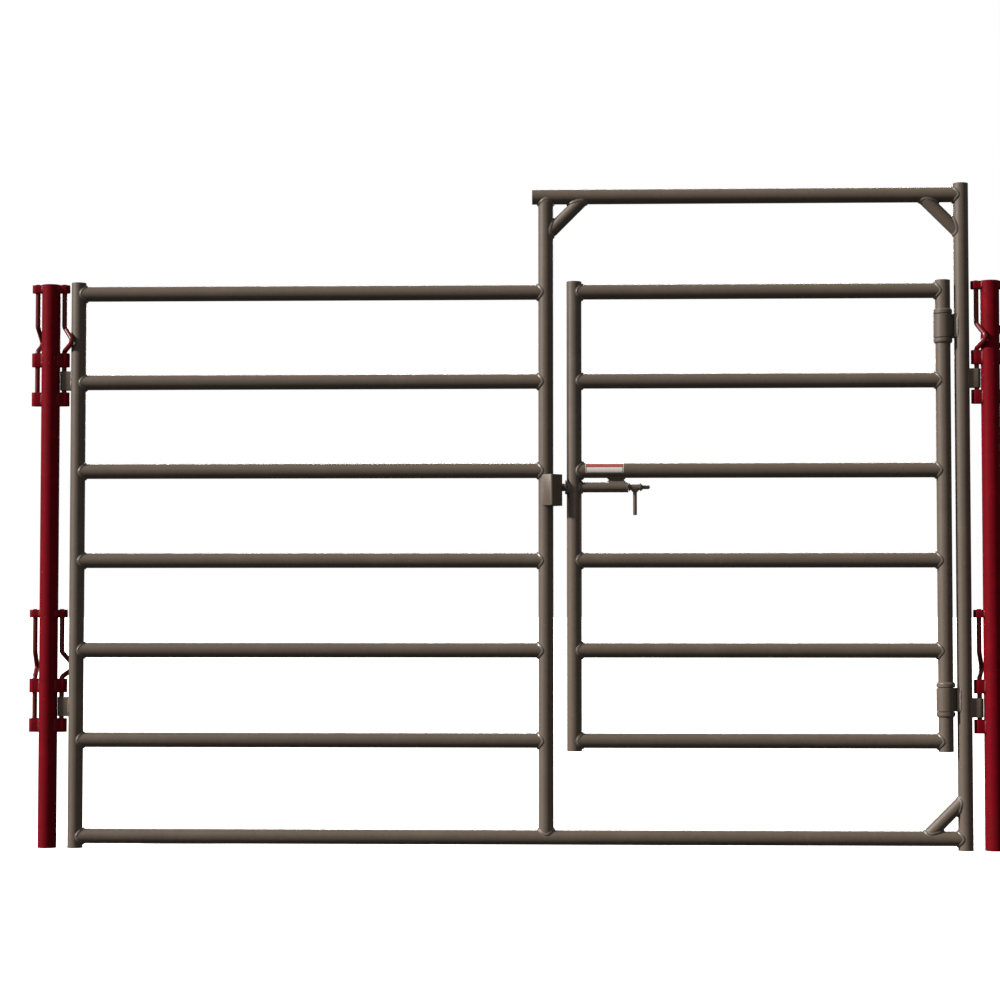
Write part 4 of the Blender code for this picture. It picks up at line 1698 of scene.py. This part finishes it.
@dataclass
class DropPins:
    """The round pins through the lugs, each with a kink that rests on the middle lug."""

    diameter: float = 0.0159
    post_to_pin: float = 0.0438
    foot: float = 0.15625
    elbow: float = 0.18625
    shoulder: float = 0.23725
    kink: float = 0.056
    bend_radius: float = 0.014
    chamfer: float = 0.0016
    bend_steps: int = 8

    def path(self, base: Vector, top: float, way: Vector) -> list[Vector]:
        """The pin's middle line, with an arc at each bend.

        Args:
            base: The middle of its lowest lug.
            top: The height of its top end.
            way: The direction in plan that its kink points.

        Returns:
            The line.
        """
        corners = [
            base - UP * PIN_TIP_DROP,
            base + UP * self.foot,
            base + UP * self.elbow + way * self.kink,
            base + UP * self.shoulder,
            Vector((base.x, base.y, top)),
        ]
        path = [corners[0]]
        for before, corner, after in zip(corners, corners[1:], corners[2:]):
            back, ahead = (before - corner).normalized(), (after - corner).normalized()
            half = back.angle(ahead) / 2
            centre = corner + (back + ahead).normalized() * self.bend_radius / math.sin(half)
            first = corner + back * self.bend_radius / math.tan(half) - centre
            last = corner + ahead * self.bend_radius / math.tan(half) - centre
            axis, sweep = first.cross(last), first.angle(last)
            for n in range(self.bend_steps + 1):
                turn = Matrix.Rotation(sweep * n / self.bend_steps, 3, axis)
                path.append(centre + turn @ first)
        return [*path, corners[-1]]

    def kink_way(self, node: str, base: Vector) -> Vector:
        """Which way a pin's kink points: the way its box reaches further from its base.

        Args:
            node: The pin's CAD node.
            base: The middle of its lowest lug.

        Returns:
            The unit direction in plan.
        """
        low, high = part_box(node)
        radius, reach = self.diameter / 2, []
        for n in (0, 1):
            ahead, back = high[n] - base[n], base[n] - low[n]
            reach.append(ahead - radius if ahead > back else radius - back)
        return Vector((*reach, 0.0)).normalized()

    def build(self) -> None:
        """Builds all eight pins."""
        for side in Side:
            post_x = middle(f"pin_post_{side.word}").x
            for row, facing in (("inner", -side.value), ("outer", side.value)):
                for level in Level:
                    node = f"drop_pin_{side.word}_{row}_{level.value}"
                    low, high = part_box(node)
                    base = spot(post_x + facing * self.post_to_pin, low.z + PIN_TIP_DROP)
                    path = self.path(base, high.z, self.kink_way(node, base))
                    form = Form()
                    form.sweep(path, self.diameter / 2, 32, self.chamfer)
                    form.piece(f"{node}_bar", f"{node}_body", Slot.PIN, [Finish.RED_BAR], node)


@dataclass
class Studio:
    """A plain pale floor, soft light from the upper left and the camera."""

    camera_place: Vector = field(default_factory=lambda: Vector((0.2129, -7.755, 0.7737)))
    camera_tilt: float = 92.58
    camera_turn: float = 1.99
    lens: float = 86.4
    sensor: float = 36.0
    floor_size: float = 400.0
    # The room's least and most light, and the side that it comes from
    room: tuple[float, float] = (0.055, 0.44)
    room_lean: tuple[float, float, float] = (-0.35, -0.25, 0.90)
    # Each light's power, softness, turn to the left from the front, and rise, in degrees
    key: tuple[float, float, float, float] = (7.6, 5.0, 71.0, 30.0)
    back_fill: tuple[float, float, float, float] = (3.4, 25.0, 180.0, 18.0)

    def build_camera(self) -> None:
        """The camera."""
        data = bpy.data.cameras.new("camera")
        data.lens, data.sensor_width = self.lens, self.sensor
        camera = bpy.data.objects.new("camera", data)
        camera.location = self.camera_place
        tilt, turn = math.radians(self.camera_tilt), math.radians(self.camera_turn)
        camera.rotation_euler = (tilt, 0.0, turn)
        bpy.context.scene.collection.objects.link(camera)
        bpy.context.scene.camera = camera

    def build_floor(self) -> None:
        """The floor. It takes shadows and throws no light back up."""
        half = self.floor_size / 2
        corners = [(x * half, y * half, 0.0) for x, y in ((-1, -1), (1, -1), (1, 1), (-1, 1))]
        mesh = bpy.data.meshes.new("floor")
        mesh.from_pydata(corners, [], [(0, 1, 2, 3)])
        floor = bpy.data.objects.new("floor", mesh)
        bpy.context.scene.collection.objects.link(floor)
        floor.data.materials.append(Finish.FLOOR.material)
        floor.visible_diffuse = False
        floor.visible_glossy = False

    def build_light(self, name: str, setting: tuple[float, float, float, float]) -> None:
        """A soft light that is far off.

        Args:
            name: Its name.
            setting: Its power, softness, turn and rise.
        """
        data = bpy.data.lights.new(name, "SUN")
        data.energy = setting[0]
        data.angle, turn, rise = (math.radians(degrees) for degrees in setting[1:])
        level = math.cos(rise)
        way = Vector((-math.sin(turn) * level, -math.cos(turn) * level, math.sin(rise)))
        light = bpy.data.objects.new(name, data)
        light.rotation_euler = way.to_track_quat("Z", "Y").to_euler()
        bpy.context.scene.collection.objects.link(light)

    def build_world(self) -> None:
        """White behind the object, and a dim room that is lighter above and to the left."""
        world = bpy.data.worlds.new("studio")
        bpy.context.scene.world = world
        world.use_nodes = True
        tree = world.node_tree
        tree.nodes.clear()
        way = add_node(tree, "ShaderNodeTexCoord").outputs["Generated"]
        lean = {1: self.room_lean}
        lit = add_node(tree, "ShaderNodeVectorMath", {0: way}, lean, operation="DOT_PRODUCT")
        span = {1: -1.0, 2: 1.0, 3: self.room[0], 4: self.room[1]}
        room = add_node(tree, "ShaderNodeMapRange", {0: lit.outputs["Value"]}, span)
        seen = add_node(tree, "ShaderNodeLightPath").outputs["Is Camera Ray"]
        strength = add_node(tree, "ShaderNodeMix", {0: seen, 2: room.outputs[0]}, {3: 1.0})
        back = add_node(tree, "ShaderNodeBackground", {1: strength.outputs[0]}, {0: (1, 1, 1, 1)})
        add_node(tree, "ShaderNodeOutputWorld", {"Surface": back.outputs[0]})

    def build(self) -> None:
        """Builds the studio."""
        self.build_camera()
        self.build_floor()
        self.build_world()
        self.build_light("key", self.key)
        self.build_light("back_fill", self.back_fill)
        bpy.context.scene.view_settings.view_transform = "Standard"


def main() -> None:
    """Builds every sub-assembly in order."""
    logging.basicConfig(level=logging.INFO, format="%(message)s")
    Studio().build()
    PanelFrame().build()
    Strikes().build()
    Ears().build()
    Hinges().build()
    GateLeaf().build()
    SlamLatch().build()
    for side in Side:
        PinPost(side).build()
    DropPins().build()


if __name__ == "__main__":
    main()
